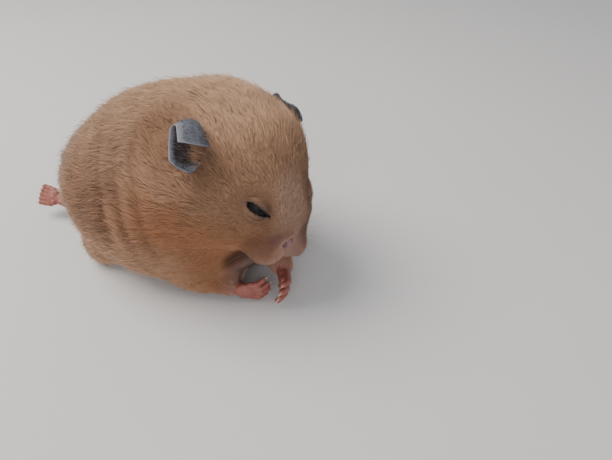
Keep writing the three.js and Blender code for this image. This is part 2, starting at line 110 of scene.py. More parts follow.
# %% The head's own frame, from the eyes and the nose
SIGN = {"right": -1, "left": 1}           # of the way to the animal's left
SIDES = tuple(SIGN)
NOSE_AHEAD, NOSE_BELOW = 9.3, 8.7          # of the point between the eyes
EYES_AHEAD, EYES_ABOVE = 17.0, 2.7         # of the point between the ears
EYE_RADIUS = 3.7


def middle(node):
    low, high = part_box(node)
    return (np.array(low) + np.array(high)) / 2 / MM


eye_at = {side: middle(f"eye_{side}") for side in SIDES}
between_eyes = (eye_at["right"] + eye_at["left"]) / 2
HEAD_LEFT = unit(eye_at["left"] - eye_at["right"])
to_nose = middle("nose") - between_eyes
to_nose = to_nose - HEAD_LEFT * (to_nose @ HEAD_LEFT)
beside = np.cross(to_nose, HEAD_LEFT)
HEAD_FORWARD = unit(NOSE_AHEAD * to_nose + NOSE_BELOW * beside)
HEAD_UP = np.cross(HEAD_FORWARD, HEAD_LEFT)
HEAD_AXES = np.array([HEAD_LEFT, HEAD_FORWARD, HEAD_UP])
HEAD_AT = between_eyes - HEAD_FORWARD * EYES_AHEAD - HEAD_UP * EYES_ABOVE
print("head at", HEAD_AT.round(1), "forward", HEAD_FORWARD.round(2))


def in_head(points):
    """Points of the row frame as left, forward and up in the head's frame."""
    return (np.asarray(points) - HEAD_AT) @ HEAD_AXES.T


def from_head(left, forward, up):
    return HEAD_AT + np.array([left, forward, up]) @ HEAD_AXES


def mirrored(side, place):
    """The place on one side of the head of a place given for the left."""
    aside, forward, up = place
    return from_head(SIGN[side] * aside, forward, up)


def way_of_head(direction):
    return unit(np.array(direction) @ HEAD_AXES)


# %% [markdown]
# Shader maths reads best as plain expressions. The class below wraps one output socket of a node
# tree, and its operators add Math nodes for numbers. Colours and vectors go through Mix and Vector
# Math nodes instead, because a Math node would turn a colour grey. Any other node comes from one
# method, `node`, which takes the type, its settings and the values of its sockets.


# %% A small language for shader nodes
class Sock:
    """One output socket, with arithmetic."""

    def __init__(self, tree, socket):
        self.tree, self.socket = tree, socket

    def math(self, operation, *values):
        return self.tree.node("ShaderNodeMath", {"operation": operation}, dict(enumerate(values)))

    def vector(self, operation, other, socket=1, output=0):
        sockets = {0: self, socket: other}
        return self.tree.node("ShaderNodeVectorMath", {"operation": operation}, sockets, output)

    def __add__(self, other):
        return self.math("ADD", self, other)

    def __sub__(self, other):
        return self.math("SUBTRACT", self, other)

    def __rsub__(self, other):
        return self.math("SUBTRACT", other, self)

    def __mul__(self, other):
        return self.math("MULTIPLY", self, other)

    def __abs__(self):
        return self.math("ABSOLUTE", self)

    __radd__, __rmul__ = __add__, __mul__

    def ramp(self, low, high):
        """0 below low, 1 above high and a soft step between."""
        return self.tree.node("ShaderNodeMapRange", {"interpolation_type": "SMOOTHSTEP"},
                              {"Value": self, "From Min": low, "From Max": high})

    def scaled(self, factor):
        """A vector times a number."""
        return self.vector("SCALE", factor, "Scale")

    def stretched(self, factors):
        """A vector times a vector, part by part."""
        return self.vector("MULTIPLY", factors)

    def minus(self, place):
        return self.vector("SUBTRACT", tuple(place))

    def dot(self, axis):
        return self.vector("DOT_PRODUCT", tuple(axis), output="Value")

    def distance(self, place):
        return self.vector("DISTANCE", tuple(place), output="Value")


class Tree:
    """The node tree of one material."""

    def __init__(self, name):
        self.material = bpy.data.materials.new(name)
        self.material.use_nodes = True
        self.nodes = self.material.node_tree.nodes
        self.links = self.material.node_tree.links
        self.nodes.clear()

    def node(self, kind, settings, sockets, output=0):
        made = self.nodes.new(kind)
        for name, value in settings.items():
            setattr(made, name, value)
        for name, value in sockets.items():
            self.feed(made.inputs[name], value)
        return Sock(self, made.outputs[output] if made.outputs else None)

    def feed(self, socket, value):
        if isinstance(value, Sock):
            self.links.new(value.socket, socket)
        elif isinstance(value, (tuple, list)) and socket.type == "RGBA" and len(value) == 3:
            socket.default_value = (*value, 1.0)
        else:
            socket.default_value = value

    def mix(self, factor, a, b, blend="MIX"):
        """Two colours, mixed by a factor from 0 to 1."""
        made = self.nodes.new("ShaderNodeMix")
        made.data_type, made.blend_type = "RGBA", blend
        for socket, value in zip((0, 6, 7), (factor, a, b)):
            self.feed(made.inputs[socket], value)
        return Sock(self, made.outputs[2])

    def attribute(self, name, output="Fac"):
        return self.node("ShaderNodeAttribute", {"attribute_name": name}, {}, output)

    def noise(self, where, scale, detail=2.0):
        return self.node("ShaderNodeTexNoise", {}, {"Vector": where, "Scale": scale, "Detail": detail})

    def bump(self, height, strength, distance):
        return self.node("ShaderNodeBump", {},
                         {"Height": height, "Strength": strength, "Distance": distance})

    def surface(self, **sockets):
        shader = self.node("ShaderNodeBsdfPrincipled", {},
                           {name.replace("_", " "): value for name, value in sockets.items()})
        self.node("ShaderNodeOutputMaterial", {}, {"Surface": shader})
        return self.material


# %% [markdown]
# ## The camera, the floor and the light
# The view looks down from the animal's right and a little ahead, from close by, as a hand holds a
# telephone over a cage. A short lens from close by makes the head large against the rump. The
# light is a soft window high on the far side, with a weak fill, over a plain pale floor.

# %% Camera
def linked(name, data):
    """A new object in the scene."""
    made = bpy.data.objects.new(name, data)
    bpy.context.scene.collection.objects.link(made)
    return made


CAMERA_AT = HEAD_AT + (-95.3, -72.23, 73.0)
VIEW_RIGHT = (0.4695, -0.8829, 0.0)
VIEW_UP = (0.568, 0.302, 0.766)
FOCAL_PIXELS, FRAME_WIDTH = 470, 612

camera_data = bpy.data.cameras.new("camera")
camera_data.sensor_width = 36
camera_data.lens = FOCAL_PIXELS / FRAME_WIDTH * camera_data.sensor_width
camera_data.clip_start = 0.005
camera = linked("camera", camera_data)
backward = np.cross(VIEW_RIGHT, VIEW_UP)
turn = np.array([unit(VIEW_RIGHT), unit(VIEW_UP), unit(backward)]).T
camera.matrix_world = Matrix.LocRotScale(Vector(CAMERA_AT) * MM, Matrix(turn).to_quaternion(), None)
bpy.context.scene.camera = camera
print("lens", round(camera_data.lens, 2), "mm")


# %% [markdown]
# The lights are a wide disc for the window and a second one for the light that the room gives
# back. The world is a pale even sky. None of them has a hard edge, so the fur keeps soft shadows.

# %% Floor and lights
FLOOR_HALF = 2.5                          # metres
floor_mesh = bpy.data.meshes.new("floor")
floor_mesh.from_pydata([(x * FLOOR_HALF, y * FLOOR_HALF, 0) for x, y in ((-1, -1), (1, -1), (1, 1), (-1, 1))],
                       [], [(0, 1, 2, 3)])
floor = linked("floor", floor_mesh)
floor_tree = Tree("pale_floor")
floor_cloud = floor_tree.noise(floor_tree.node("ShaderNodeTexCoord", {}, {}, "Object"), 9.0)
floor.data.materials.append(floor_tree.surface(
    Base_Color=floor_tree.mix(floor_cloud, (0.66, 0.64, 0.62), (0.70, 0.68, 0.66)), Roughness=0.85))
floor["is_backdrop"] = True


def area_light(name, towards, distance, size, power, colour):
    light = bpy.data.lights.new(name, "AREA")
    light.shape, light.size, light.energy, light.color = "DISK", size * MM, power, colour
    lamp = linked(name, light)
    direction = Vector(unit(towards))
    lamp.location = direction * distance * MM
    lamp.rotation_euler = direction.to_track_quat("Z", "Y").to_euler()


area_light("window", (-0.25, 0.75, 1.35), 620, 480, 4.3, (1.0, 0.965, 0.92))
area_light("fill", (-1.0, -0.6, 0.6), 700, 560, 2.0, (0.95, 0.97, 1.0))
world = bpy.data.worlds.new("studio")
world.use_nodes = True
sky = world.node_tree.nodes["Background"].inputs
sky["Color"].default_value = (0.90, 0.93, 1.0, 1)
sky["Strength"].default_value = 0.47
bpy.context.scene.world = world
print("a pale floor, two lamps and a sky")

# %% [markdown]
# ## The skin
# On the animal one skin covers everything. The solids of flesh are the outside of the coat, cut
# into named pieces with thin gaps. Swelling each by a little closes the gaps, a voxel remesh makes
# one even mesh of them all, and relaxing it takes the facets out. Plain relaxing would also shrink
# a small form such as the muzzle, so each inward round is followed by a round back out. Then every
# point moves inwards by the depth of the coat there, which leaves the skin.

# %% Join the solids of flesh into one even mesh
FLESH = ["head", "neck", "trunk", *(f"{leg}_{side}" for leg in ("foreleg", "hindleg") for side in SIDES)]
SWELL = 0.3


def remeshed(mesh, voxel):
    """The mesh made again from even voxels."""
    made = linked("voxels", mesh)
    change = made.modifiers.new("even", "REMESH")
    change.mode, change.voxel_size, change.adaptivity = "VOXEL", voxel * MM, 0
    graph = bpy.context.evaluated_depsgraph_get()
    even = bpy.data.meshes.new_from_object(made.evaluated_get(graph))
    bpy.data.objects.remove(made)
    return even


def mesh_of(bm, name):
    mesh = bpy.data.meshes.new(name)
    bm.to_mesh(mesh)
    bm.free()
    return mesh


def read(items, what, width=3, kind=np.float32):
    """One property of all the items of a mesh, a row for each."""
    flat = np.empty(len(items) * width, kind)
    items.foreach_get(what, flat)
    return flat.reshape(-1, width)


def points_of(mesh):
    return read(mesh.vertices, "co").astype(float) / MM


def normals_of(mesh):
    return read(mesh.vertex_normals, "vector").astype(float)


def put_points(mesh, points):
    mesh.vertices.foreach_set("co", (points * MM).astype(np.float32).ravel())
    mesh.update()


def relax(mesh, rounds, shares=(0.5,), weight=1.0):
    """Moves every point towards the middle of its neighbours, by each share in turn."""
    points = points_of(mesh)
    ends = read(mesh.edges, "vertices", 2, np.int32)
    a, b = ends.T
    count = np.maximum(np.bincount(ends.ravel(), minlength=len(points)), 1)[:, None]
    for share in list(shares) * rounds:
        total = np.stack([np.bincount(a, beside[b], len(points)) + np.bincount(b, beside[a], len(points))
                          for beside in points.T], axis=1)
        points += share * weight * (total / count - points)
    put_points(mesh, points)


KEEPS_SIZE = (0.5, -0.53)                 # inwards, then back out: facets go, large forms stay


def joined_solids(nodes, swell):
    bm = bmesh.new()
    for node in nodes:
        bm.from_mesh(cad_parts[node].data)
    bmesh.ops.remove_doubles(bm, verts=bm.verts, dist=1e-6)
    bm.normal_update()
    for corner in bm.verts:
        corner.co += corner.normal * swell * MM
    return mesh_of(bm, "flesh")


COARSE, COARSE_ROUNDS = 1.0, 30
coarse = remeshed(joined_solids([*FLESH, "eye_right", "eye_left", "nose"], SWELL), COARSE)
relax(coarse, COARSE_ROUNDS, KEEPS_SIZE)
print("coarse skin:", len(coarse.vertices), "points")

# %% [markdown]
# The coat is deepest on the back and rump and thinnest on the muzzle and the wrists. One function
# gives its depth anywhere, and the fur uses the same function later, so that the hair tips end near
# the solids' surface. Legs are thin, so relaxing them has already taken some of the depth away.
# Behind the shoulder the loose skin of the bent body hangs in three soft upright folds.

# %% The depth of the coat, and the skin below it
COAT = {"back": 2.5, "belly": 1.6, "crown": 1.5, "cheek": 1.7, "muzzle": 0.75, "limb": 0.9}
EYE_LINE = 12.0                           # forward of the ears, where the face starts
MUZZLE = in_head(middle("nose")) + np.array([0, -3.0, -2.5])
WRIST, HEEL = ({side: middle(f"{end}_{side}") for side in SIDES} for end in ("hand", "foot"))


def near_limb_end(points, reach):
    """1 at the wrists and heels, 0 further up the limbs than reach."""
    ends = (*WRIST.values(), *HEEL.values())
    nearest = np.min([distance(points, end) for end in ends], axis=0)
    return 1 - step(reach * 0.45, reach, nearest)


def coat_depth(points):
    _, forward, up = in_head(points).T
    to_muzzle = distance(in_head(points), MUZZLE)
    head = blend(COAT["cheek"], COAT["crown"], step(-6, 6, up))
    head = blend(head, COAT["muzzle"] + 0.25, step(EYE_LINE - 5, EYE_LINE + 4, forward))
    head = blend(head, COAT["muzzle"], 1 - step(7, 13, to_muzzle))
    body = blend(COAT["belly"], COAT["back"], step(6, 30, points[:, 2]))
    depth = blend(body, head, step(-14, -2, forward))
    return blend(depth, COAT["limb"], near_limb_end(points, 17))


FOLDS_AT, FOLD_WIDTH, FOLD_DEPTH = (-8.2, -14.5, -20.8), 2.3, 0.5


def flank_folds(points):
    """1 along the soft upright folds of the flanks, 0 between them."""
    x, y, z = points.T
    across = y - 0.3 * np.maximum(z - 40, 0)
    lines = sum(bell(across - at, FOLD_WIDTH) for at in FOLDS_AT)
    return lines * step(10, 18, np.abs(x)) * step(16, 26, z) * (1 - step(50, 60, z))


points = points_of(coarse)
inwards = coat_depth(points) + SWELL + FOLD_DEPTH * flank_folds(points)
put_points(coarse, points - normals_of(coarse) * inwards[:, None])
relax(coarse, 2)
FINE = 0.62
skin_mesh = remeshed(coarse, FINE)
print("skin:", len(skin_mesh.vertices), "points")


# %% [markdown]
# The face needs finer cells than the flank. The faces near the eyes and on the muzzle are split
# once more, and those at the lids and the nose twice more.


# %% Finer cells on the face
def split_near(mesh, chosen):
    """Splits the faces whose middle is chosen into four."""
    bm = bmesh.new()
    bm.from_mesh(mesh)
    bm.faces.ensure_lookup_table()
    middles = np.array([f.calc_center_median() for f in bm.faces]) / MM
    faces = [bm.faces[i] for i in np.nonzero(chosen(middles))[0]]
    edges = list({e for f in faces for e in f.edges})
    bmesh.ops.subdivide_edges(bm, edges=edges, cuts=1, use_grid_fill=True)
    bmesh.ops.triangulate(bm, faces=[f for f in bm.faces if len(f.verts) > 4])
    bm.to_mesh(mesh)
    bm.free()


def to_eyes(points):
    """The distance to the nearer eye."""
    return np.min([distance(points, at) for at in eye_at.values()], axis=0)


for eye_reach, nose_reach in ((7.5, 8), (5.6, 4.2)):
    split_near(skin_mesh, lambda p: (to_eyes(p) < eye_reach) | (distance(p, middle("nose")) < nose_reach))
print("skin with a finer face:", len(skin_mesh.vertices), "points")

# %% [markdown]
# The eye is a ball set in the head, and the lids are the skin stretched over it. So each lid is
# made by pushing the skin out to a shell just above the ball. Along the slit the skin is pushed
# down behind the ball instead, which leaves an almond opening with a rounded margin. The
# eyes are half closed, as when it eats, so each slit is narrow, rounded at the back and drawn out to a
# point towards the nose. Above it the lid folds once, and below it there is a soft pouch.

# %% Lids, in a frame of each eye: along the slit, across it and outwards
LID = 0.42
OPENING = {"half_length": 3.6, "half_height": 0.98, "margin": 0.3}
SLIT_FRONT = (6.9, 22.1, 3.3)             # the corner towards the nose: aside, forward, up
SLIT_BACK = (11.2, 16.4, 4.9)


def eye_frame(side):
    front, back = mirrored(side, SLIT_FRONT), mirrored(side, SLIT_BACK)
    centre = (front + back) / 2
    outward = unit(centre - eye_at[side])
    slit = along_tangent(front - back, outward)
    across = unit(np.cross(outward, slit))
    return centre, slit, across * (1 if across @ HEAD_UP > 0 else -1), outward


def around_opening(points, side):
    """Places along, across and out of the slit, and how far inside its edge each point is."""
    centre, *axes = eye_frame(side)
    u, v, w = ((points - centre) @ axis for axis in axes)
    share = np.clip((u / OPENING["half_length"] + 1) / 2, 0, 1)
    half = OPENING["half_height"] * 2.7 * share ** 0.5 * (1 - share) ** 1.1
    sag = -0.6 * share ** 0.5 * (1 - share)
    beyond = np.maximum(np.abs(u) - OPENING["half_length"], 0)
    return u, v, w, half - np.abs(v - sag) - beyond


def set_lids(points, side):
    u, v, w, inside = around_opening(points, side)
    from_eye = points - eye_at[side]
    radius = np.linalg.norm(from_eye, axis=1)
    ball_front = from_eye @ eye_frame(side)[3]
    lid_radius = EYE_RADIUS + LID
    raised = np.maximum(radius, lid_radius * step(-0.5, 1.0, ball_front))
    hole = step(-OPENING["margin"], OPENING["margin"], inside) * step(0.0, 1.0, ball_front)
    lip = 0.16 * bell(inside + 0.55, 0.35)
    crease = 0.28 * bell(inside + 1.65, 0.4) * step(-0.2, 0.6, v) * (1 - step(2.6, 4.2, np.abs(u)))
    pouch = 0.14 * bell(inside + 2.1, 0.5) * step(-0.2, -0.8, v) * (1 - step(2.4, 4.0, np.abs(u)))
    rolled = (raised + lip - crease - pouch) * (1 - hole) + np.minimum(raised, EYE_RADIUS - 0.9) * hole
    near = (radius < lid_radius + 2.5) & (ball_front > -0.5) & (w > -4)
    return np.where(near[:, None], eye_at[side] + unit(from_eye) * rolled[:, None], points)


points = points_of(skin_mesh)
for side in SIDES:
    points = set_lids(points, side)
put_points(skin_mesh, points)
relax(skin_mesh, 1, weight=(to_eyes(points) < 6.5)[:, None])
print("lids over eyes of", 2 * EYE_RADIUS, "mm")

# %% [markdown]
# The muzzle has a groove from the nose to the mouth, and the mouth turns back under the whisker
# pads. Both are pressed into the skin, and the fur follows them.


# %% The groove under the nose and the mouth
def press_mouth(points):
    left, forward, up = in_head(points).T
    in_front = step(19, 22, forward)
    groove = 0.8 * bell(left, 0.7) * step(-13.2, -11.5, up) * (1 - step(-7.5, -6.0, up))
    mouth_up = -12.6 - 0.035 * left ** 2
    mouth = 0.9 * bell(up - mouth_up, 0.75) * (1 - step(4.5, 7.5, np.abs(left)))
    return points - HEAD_FORWARD * ((groove + mouth) * in_front)[:, None]


put_points(skin_mesh, press_mouth(points_of(skin_mesh)))
skin = linked("skin", skin_mesh)
skin_mesh.polygons.foreach_set("use_smooth", np.ones(len(skin_mesh.polygons), bool))
print("skin faces:", len(skin_mesh.polygons))

# %% [markdown]
# The skin is unwrapped once, from its own shape. Its colours are worked out from places on the
# body, so this map only says where a baked texture would put them. Each tuft later takes the spot
# of its own root on the same map.

# %% Unwrap the skin
skin_mesh.uv_layers.new(name="OFBake")
bpy.context.view_layer.objects.active = skin
skin.select_set(True)
bpy.ops.object.mode_set(mode="EDIT")
bpy.ops.mesh.select_all(action="SELECT")
bpy.ops.uv.smart_project(angle_limit=math.radians(72), island_margin=0.002)
bpy.ops.object.mode_set(mode="OBJECT")
print("unwrapped")

# %% [markdown]
# ## Eyes, nose, ears, hands, feet and tail
# These are the bare parts. The eyes are smooth balls. Hands and feet are made as clay would be:
# balls pressed together along each bone, then smoothed. The ears are thin bent leaves.


# %% Helpers for bare parts
def add_attribute(mesh, name, kind, values):
    layer = mesh.attributes.new(name, kind, "POINT")
    field = "vector" if kind == "FLOAT_VECTOR" else "value"
    layer.data.foreach_set(field, np.asarray(values, np.float32).ravel())


def smooth_object(name, mesh):
    made = linked(name, mesh)
    mesh.polygons.foreach_set("use_smooth", np.ones(len(mesh.polygons), bool))
    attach(made, "root")
    return made


def ball_mesh(centre, radii, rings, axes=np.eye(3)):
    bm = bmesh.new()
    bmesh.ops.create_uvsphere(bm, u_segments=rings, v_segments=rings // 2, radius=1)
    mesh = mesh_of(bm, "ball")
    unit_points = points_of(mesh) * MM
    put_points(mesh, np.asarray(centre) + (unit_points * radii) @ np.asarray(axes))
    return mesh


def clay(name, balls, voxel, smoothing):
    """One smooth body of all the balls, each a centre, its radii and its axes."""
    bm = bmesh.new()
    for centre, radii, axes in balls:
        mesh = ball_mesh(centre, radii, 16, axes)
        bm.from_mesh(mesh)
        bpy.data.meshes.remove(mesh)
    mesh = remeshed(mesh_of(bm, "heap"), voxel)
    relax(mesh, smoothing)
    mesh.name = name
    return smooth_object(name, mesh)


BALL_GAP = 0.4                            # close enough to make an even rod


def along_bone(start, end, first, last):
    """Balls along a bone, from the first radius to the last."""
    count = max(2, int(distance(end, start) / BALL_GAP) + 1)
    return [(start + (end - start) * t, np.full(3, first + (last - first) * t), np.eye(3))
            for t in np.linspace(0, 1, count)]


# %% [markdown]
# An eye is a smooth dark ball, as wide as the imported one. The lids leave only a slit of it bare.

# %% Eyes
eyes = []
for side in SIDES:
    ball = smooth_object(f"eyeball_{side}", ball_mesh(eye_at[side], np.full(3, EYE_RADIUS - 0.05), 64))
    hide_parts(f"eye_{side}")
    eyes.append(ball)
print("eyes", 2 * EYE_RADIUS, "mm across")

# %% [markdown]
# The nose is a small bare pad. Its two comma-shaped nostrils and the groove between them are
# pressed into a ball, each by the distance from its own middle.

# %% Nose
NOSE_RADII = np.array([2.3, 1.8, 1.7])
nose_at = middle("nose")
nose_mesh = ball_mesh(nose_at, NOSE_RADII, 96, HEAD_AXES)
points = points_of(nose_mesh)
aside, ahead, above = ((points - nose_at) @ HEAD_AXES.T).T
aside = np.abs(aside)
nostril = np.hypot((aside - 1.15 - 0.25 * above) / 0.42, (above + 0.15 + 0.5 * (aside - 1.1)) / 0.36)
pit = 0.75 * (1 - step(0.55, 1.25, nostril)) * step(0.2, 0.8, ahead)
groove = 0.3 * bell(aside, 0.16) * (1 - step(-0.2, 0.8, above)) * step(0.2, 0.9, ahead)
put_points(nose_mesh, points - unit(points - nose_at) * (pit + groove)[:, None])
nose = smooth_object("nose_pad", nose_mesh)
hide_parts("nose")
print("nose pad", 2 * NOSE_RADII[0], "mm wide")

# %% [markdown]
# An ear is a thin leaf of skin over gristle, cupped round its opening. Each half of the leaf is a
# walk from the middle line to the edge that turns as it goes. The lower half turns a little, which
# makes the cup. The right ear's upper half turns right over and hangs as a flap, because the ear
# is laid back. Then the leaf gets a thickness, less towards its edge.

# %% Ears
EAR = {"width": 15.5, "thickness": 0.45, "sunk": 3.0}
EAR_SHAPES = {
    "right": {"root": (-16.75, 0.45, 11.4), "along": (-0.88, -0.40, 0.06), "open": (-0.19, 0.5, 0.84),
              "curl": 0.35, "fold": 2.75, "square": 0.79, "upper": 1.86, "lower": 0.93,
              "bend": (0.25, 0.56), "notch": 0.1, "length": 11.8},
    "left": {"root": (15.0, -2.2, 11.2), "along": (0.47, -0.8, 0.12), "open": (0.0, 0.62, 0.78),
             "curl": 0.35, "fold": 0.5, "square": 0.88, "upper": 1.0, "lower": 0.8,
             "bend": (0.0, 1.0), "notch": 0.0, "length": 10.2},
}
EAR_ROWS, EAR_HALF_COLUMNS = 30, 20


def ear_grid(side):
    """Points and normals of the middle of the leaf, row by row from the root to the tip."""
    shape, sign = EAR_SHAPES[side], -SIGN[side]
    a = way_of_head(shape["along"])
    across = unit(np.cross(a, way_of_head(shape["open"]))) * sign
    face = unit(np.cross(across, a)) * sign
    start = from_head(*shape["root"]) - a * EAR["sunk"]
    at, normal = [], []
    for t in np.linspace(0, 1, EAR_ROWS):
        half = EAR["width"] / 2 * math.sin(math.pi * (0.03 + shape["square"] * t)) ** 0.6
        wave = 0.25 * math.sin(9 * t)
        row = {}
        for way, part in ((1, "upper"), (-1, "lower")):
            place = start + a * t * shape["length"]
            narrow = 0.45 + 0.55 * step(0.1, 0.55, t)
            stride = half * shape[part] * narrow / EAR_HALF_COLUMNS
            for j in range(EAR_HALF_COLUMNS + 1):
                share = j / EAR_HALF_COLUMNS
                folded = step(*shape["bend"], share) if part == "upper" else share ** 1.2
                turned = shape["fold" if part == "upper" else "curl"] * folded
                cut = a * t * shape["notch"] * shape["length"] * folded * (part == "upper")
                row[way * j] = (place - cut + face * wave * share ** 2,
                                face * math.cos(turned) - across * way * math.sin(turned))
                place = place + (across * way * math.cos(turned) + face * math.sin(turned)) * stride
        at.append([row[j][0] for j in sorted(row)])
        normal.append([row[j][1] for j in sorted(row)])
    return np.array(at), np.array(normal)


def sheet_mesh(at, normal, thickness):
    """A closed sheet, thinner towards its free edge. Each row is a ring: one face, then back."""
    rows, columns = at.shape[:2]
    aside, up = np.abs(np.linspace(-1, 1, columns))[None, :], np.linspace(0, 1, rows)[:, None]
    half = (thickness / 2 * (1 - 0.6 * np.maximum(aside ** 8, up ** 8)))[..., None]
    points = np.concatenate([at + normal * half, (at - normal * half)[:, ::-1]], axis=1)
    ring = 2 * columns
    faces = [(i * ring + k, i * ring + (k + 1) % ring, (i + 1) * ring + (k + 1) % ring, (i + 1) * ring + k)
             for i in range(rows - 1) for k in range(ring)]
    faces += [(end + j, end + j + 1, end + ring - 2 - j, end + ring - 1 - j)
              for end in (0, (rows - 1) * ring) for j in range(columns - 1)]
    mesh = bpy.data.meshes.new("ear")
    mesh.from_pydata((points.reshape(-1, 3) * MM).tolist(), [], faces)
    bm = bmesh.new()
    bm.from_mesh(mesh)
    bmesh.ops.recalc_face_normals(bm, faces=bm.faces)
    bm.to_mesh(mesh)
    bm.free()
    to_edge = np.maximum(aside, up ** 2.5)
    add_attribute(mesh, "to_edge", "FLOAT", np.concatenate([to_edge, to_edge[:, ::-1]], axis=1))
    add_attribute(mesh, "inner", "FLOAT", np.tile(np.repeat([1.0, 0.0], columns), rows))
    return mesh


ears, ear_leaves = [], {}
for side in SIDES:
    ear_leaves[side] = ear_grid(side)
    ear = smooth_object(f"pinna_{side}", sheet_mesh(*ear_leaves[side], EAR["thickness"]))
    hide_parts(f"ear_{side}")
    ears.append(ear)
print("ears of", EAR["thickness"], "mm")

# %% [markdown]
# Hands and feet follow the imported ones: a palm or a sole, digits of two bones each, and soft pads
# under them. The directions are the same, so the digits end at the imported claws.

# %% Hands and feet
BELOW_HEAD = HEAD_AT - np.array([0, 0, 42.0])      # limbs are measured from here, near the floor
HANDS = {
    "right": {"palm": (-14.7, -7.8, 4.7), "point": (0.46, -0.88, 0.05), "row": (-0.25, 0.05, 0.96),
              "wrist": (-15.2, -2.5, 5.6), "inward": 1},
    "left": {"palm": (-6, -17.2, 6.2), "point": (-0.85, -0.5, 0), "row": (0.15, -0.25, 0.96),
             "wrist": (-1.5, -13.5, 6.8), "inward": -1},
}
FEET = {
    "right": {"heel": (-9, 70.8, 7.2), "toes": (-12.2, 87, 8.6), "sole": (-0.72, -0.2, 0.66)},
    "left": {"heel": (17, 50, 4.4), "toes": (23, 30, 1.9), "sole": (0, 0, -1)},
}
FINGERS = {"count": 4, "half_row": 3.1, "reach": 2.8, "root": 1.1, "tip": 0.85, "first": 2.1,
           "dip": 0.2, "last": 2.1, "curl": 1.56}
TOES = {"count": 5, "half_row": 2.6, "reach": 0.8, "root": 1.15, "tip": 0.9, "first": 2.3,
        "dip": 0.25, "last": 1.84, "curl": 0.35}
TOE_LENGTH = 4.6
# Pads: place across and along, and size.
PALM_PADS = ((-1.5, 1.3, 0.9), (0, 1.7, 0.9), (1.5, 1.3, 0.9), (-1.3, -1.6, 1.2), (1.3, -1.6, 1.2))
SOLE_PADS = ((-1.8, -1.2, 1.05), (0, -0.5, 1.05), (1.8, -1.2, 1.05), (-1.08, -4.4, 1.2), (0.96, -5.2, 1.1))


def placed(at):
    return BELOW_HEAD + at


def digit_balls(root, knuckle, tip, face, thick, thin):
    balls = along_bone(root, knuckle, thick, thick * 0.9) + along_bone(knuckle, tip, thick * 0.9, thin)
    for joint, size in ((knuckle, thick), (tip, thin * 1.06)):
        balls.append((joint + face * 0.18, np.full(3, size), np.eye(3)))
    return balls


def digits_and_pads(centre, axes, row, pads, pad_height, pad_half):
    """Balls of a fan of digits and of the pads behind them, and the end of each digit."""
    along, across, face = axes
    balls, ends = [], []
    for aside in np.linspace(-1, 1, row["count"]):
        root = centre + across * aside * row["half_row"] + along * row["reach"] * (1 - 0.4 * aside ** 2)
        towards = unit(along + across * aside * 0.14)
        knuckle = root + towards * row["first"] - face * row["dip"]
        tip = knuckle + towards * row["last"] + face * row["curl"]
        balls += digit_balls(root, knuckle, tip, face, row["root"], row["tip"])
        ends.append((tip, unit(tip - knuckle), row["tip"]))
    for side, back, size in pads:
        pad = centre + across * side + along * back + face * pad_height
        balls.append((pad, np.array([size, size, pad_half]), axes))
    return balls, ends


def hand_balls(palm, point, row, wrist, inward):
    palm, wrist = placed(palm), placed(wrist)
    along = unit(point)
    face = unit(np.cross(row, along)) * inward
    axes = np.array([along, unit(np.cross(along, face)), face])
    balls, ends = digits_and_pads(palm, axes, FINGERS, PALM_PADS, 1.25, 0.75)
    palm_ball = palm, np.array([3.6, 3.5, 1.8]), axes
    return [palm_ball, *along_bone(wrist, palm, 2.6, 1.9), *balls], ends


def foot_balls(heel, toes, sole):
    heel, toes = placed(heel), placed(toes)
    along = unit(toes - heel)
    across = unit(np.cross(along, sole))
    axes = np.array([along, across, unit(np.cross(across, along))])
    ball_of_foot = toes - along * TOE_LENGTH
    half = distance(ball_of_foot, heel) / 2 + 1.5
    balls, ends = digits_and_pads(ball_of_foot, axes, TOES, SOLE_PADS, 1.1, 0.8)
    sole_balls = [((heel + ball_of_foot) / 2, np.array([half, 2.5, 1.7]), axes),
                  (ball_of_foot, np.array([3.2, 3.2, 1.7]), axes)]
    return [*sole_balls, *along_bone(heel - along * 3, heel, 3.0, 2.4), *balls], ends


bare_parts, claw_roots = [], {}
for side in SIDES:
    for kind, made in (("hand", hand_balls(**HANDS[side])), ("foot", foot_balls(**FEET[side]))):
        balls, digits = made
        piece = clay(f"{kind}_skin_{side}", balls, 0.2, 3)
        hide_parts(f"{kind}_{side}")
        bare_parts.append(piece)
        claw_roots[f"{kind}_{side}"] = digits
        print(piece.name, len(piece.data.polygons), "faces")

# %% [markdown]
# A claw is a narrow cone of horn that bends down. All of them sit on the digits' ends, and each
# takes the place of its packed cone. The tail is a short bare cone, made like a digit.

# %% Claws and the tail
CLAW_LENGTH, CLAW_RADIUS, CLAW_RINGS = 1.9, 0.34, 6


def tube(line, radii, sides):
    """Points and faces of a tube along a line."""
    points, faces = [], []
    direction = unit(np.gradient(line, axis=0))
    first = unit(np.cross(direction[0], (0.3, 0.5, 0.81)))
    for i, (at, d, r) in enumerate(zip(line, direction, radii)):
        first = along_tangent(first, d)
        second = np.cross(d, first)
        points += [at + r * (first * math.cos(a) + second * math.sin(a))
                   for a in np.arange(sides) * 2 * math.pi / sides]
        if i:
            low, high = (i - 1) * sides, i * sides
            faces += [(low + k, low + (k + 1) % sides, high + (k + 1) % sides, high + k)
                      for k in range(sides)]
    faces.append(tuple(range(sides))[::-1])
    faces.append(tuple(range(len(points) - sides, len(points))))
    return points, faces


def tubes(name, lines_and_radii, sides=8):
    points, faces = [], []
    for line, radii in lines_and_radii:
        more, rings = tube(np.asarray(line), radii, sides)
        faces += [tuple(len(points) + k for k in face) for face in rings]
        points += more
    mesh = bpy.data.meshes.new(name)
    mesh.from_pydata((np.array(points) * MM).tolist(), [], faces)
    return smooth_object(name, mesh)


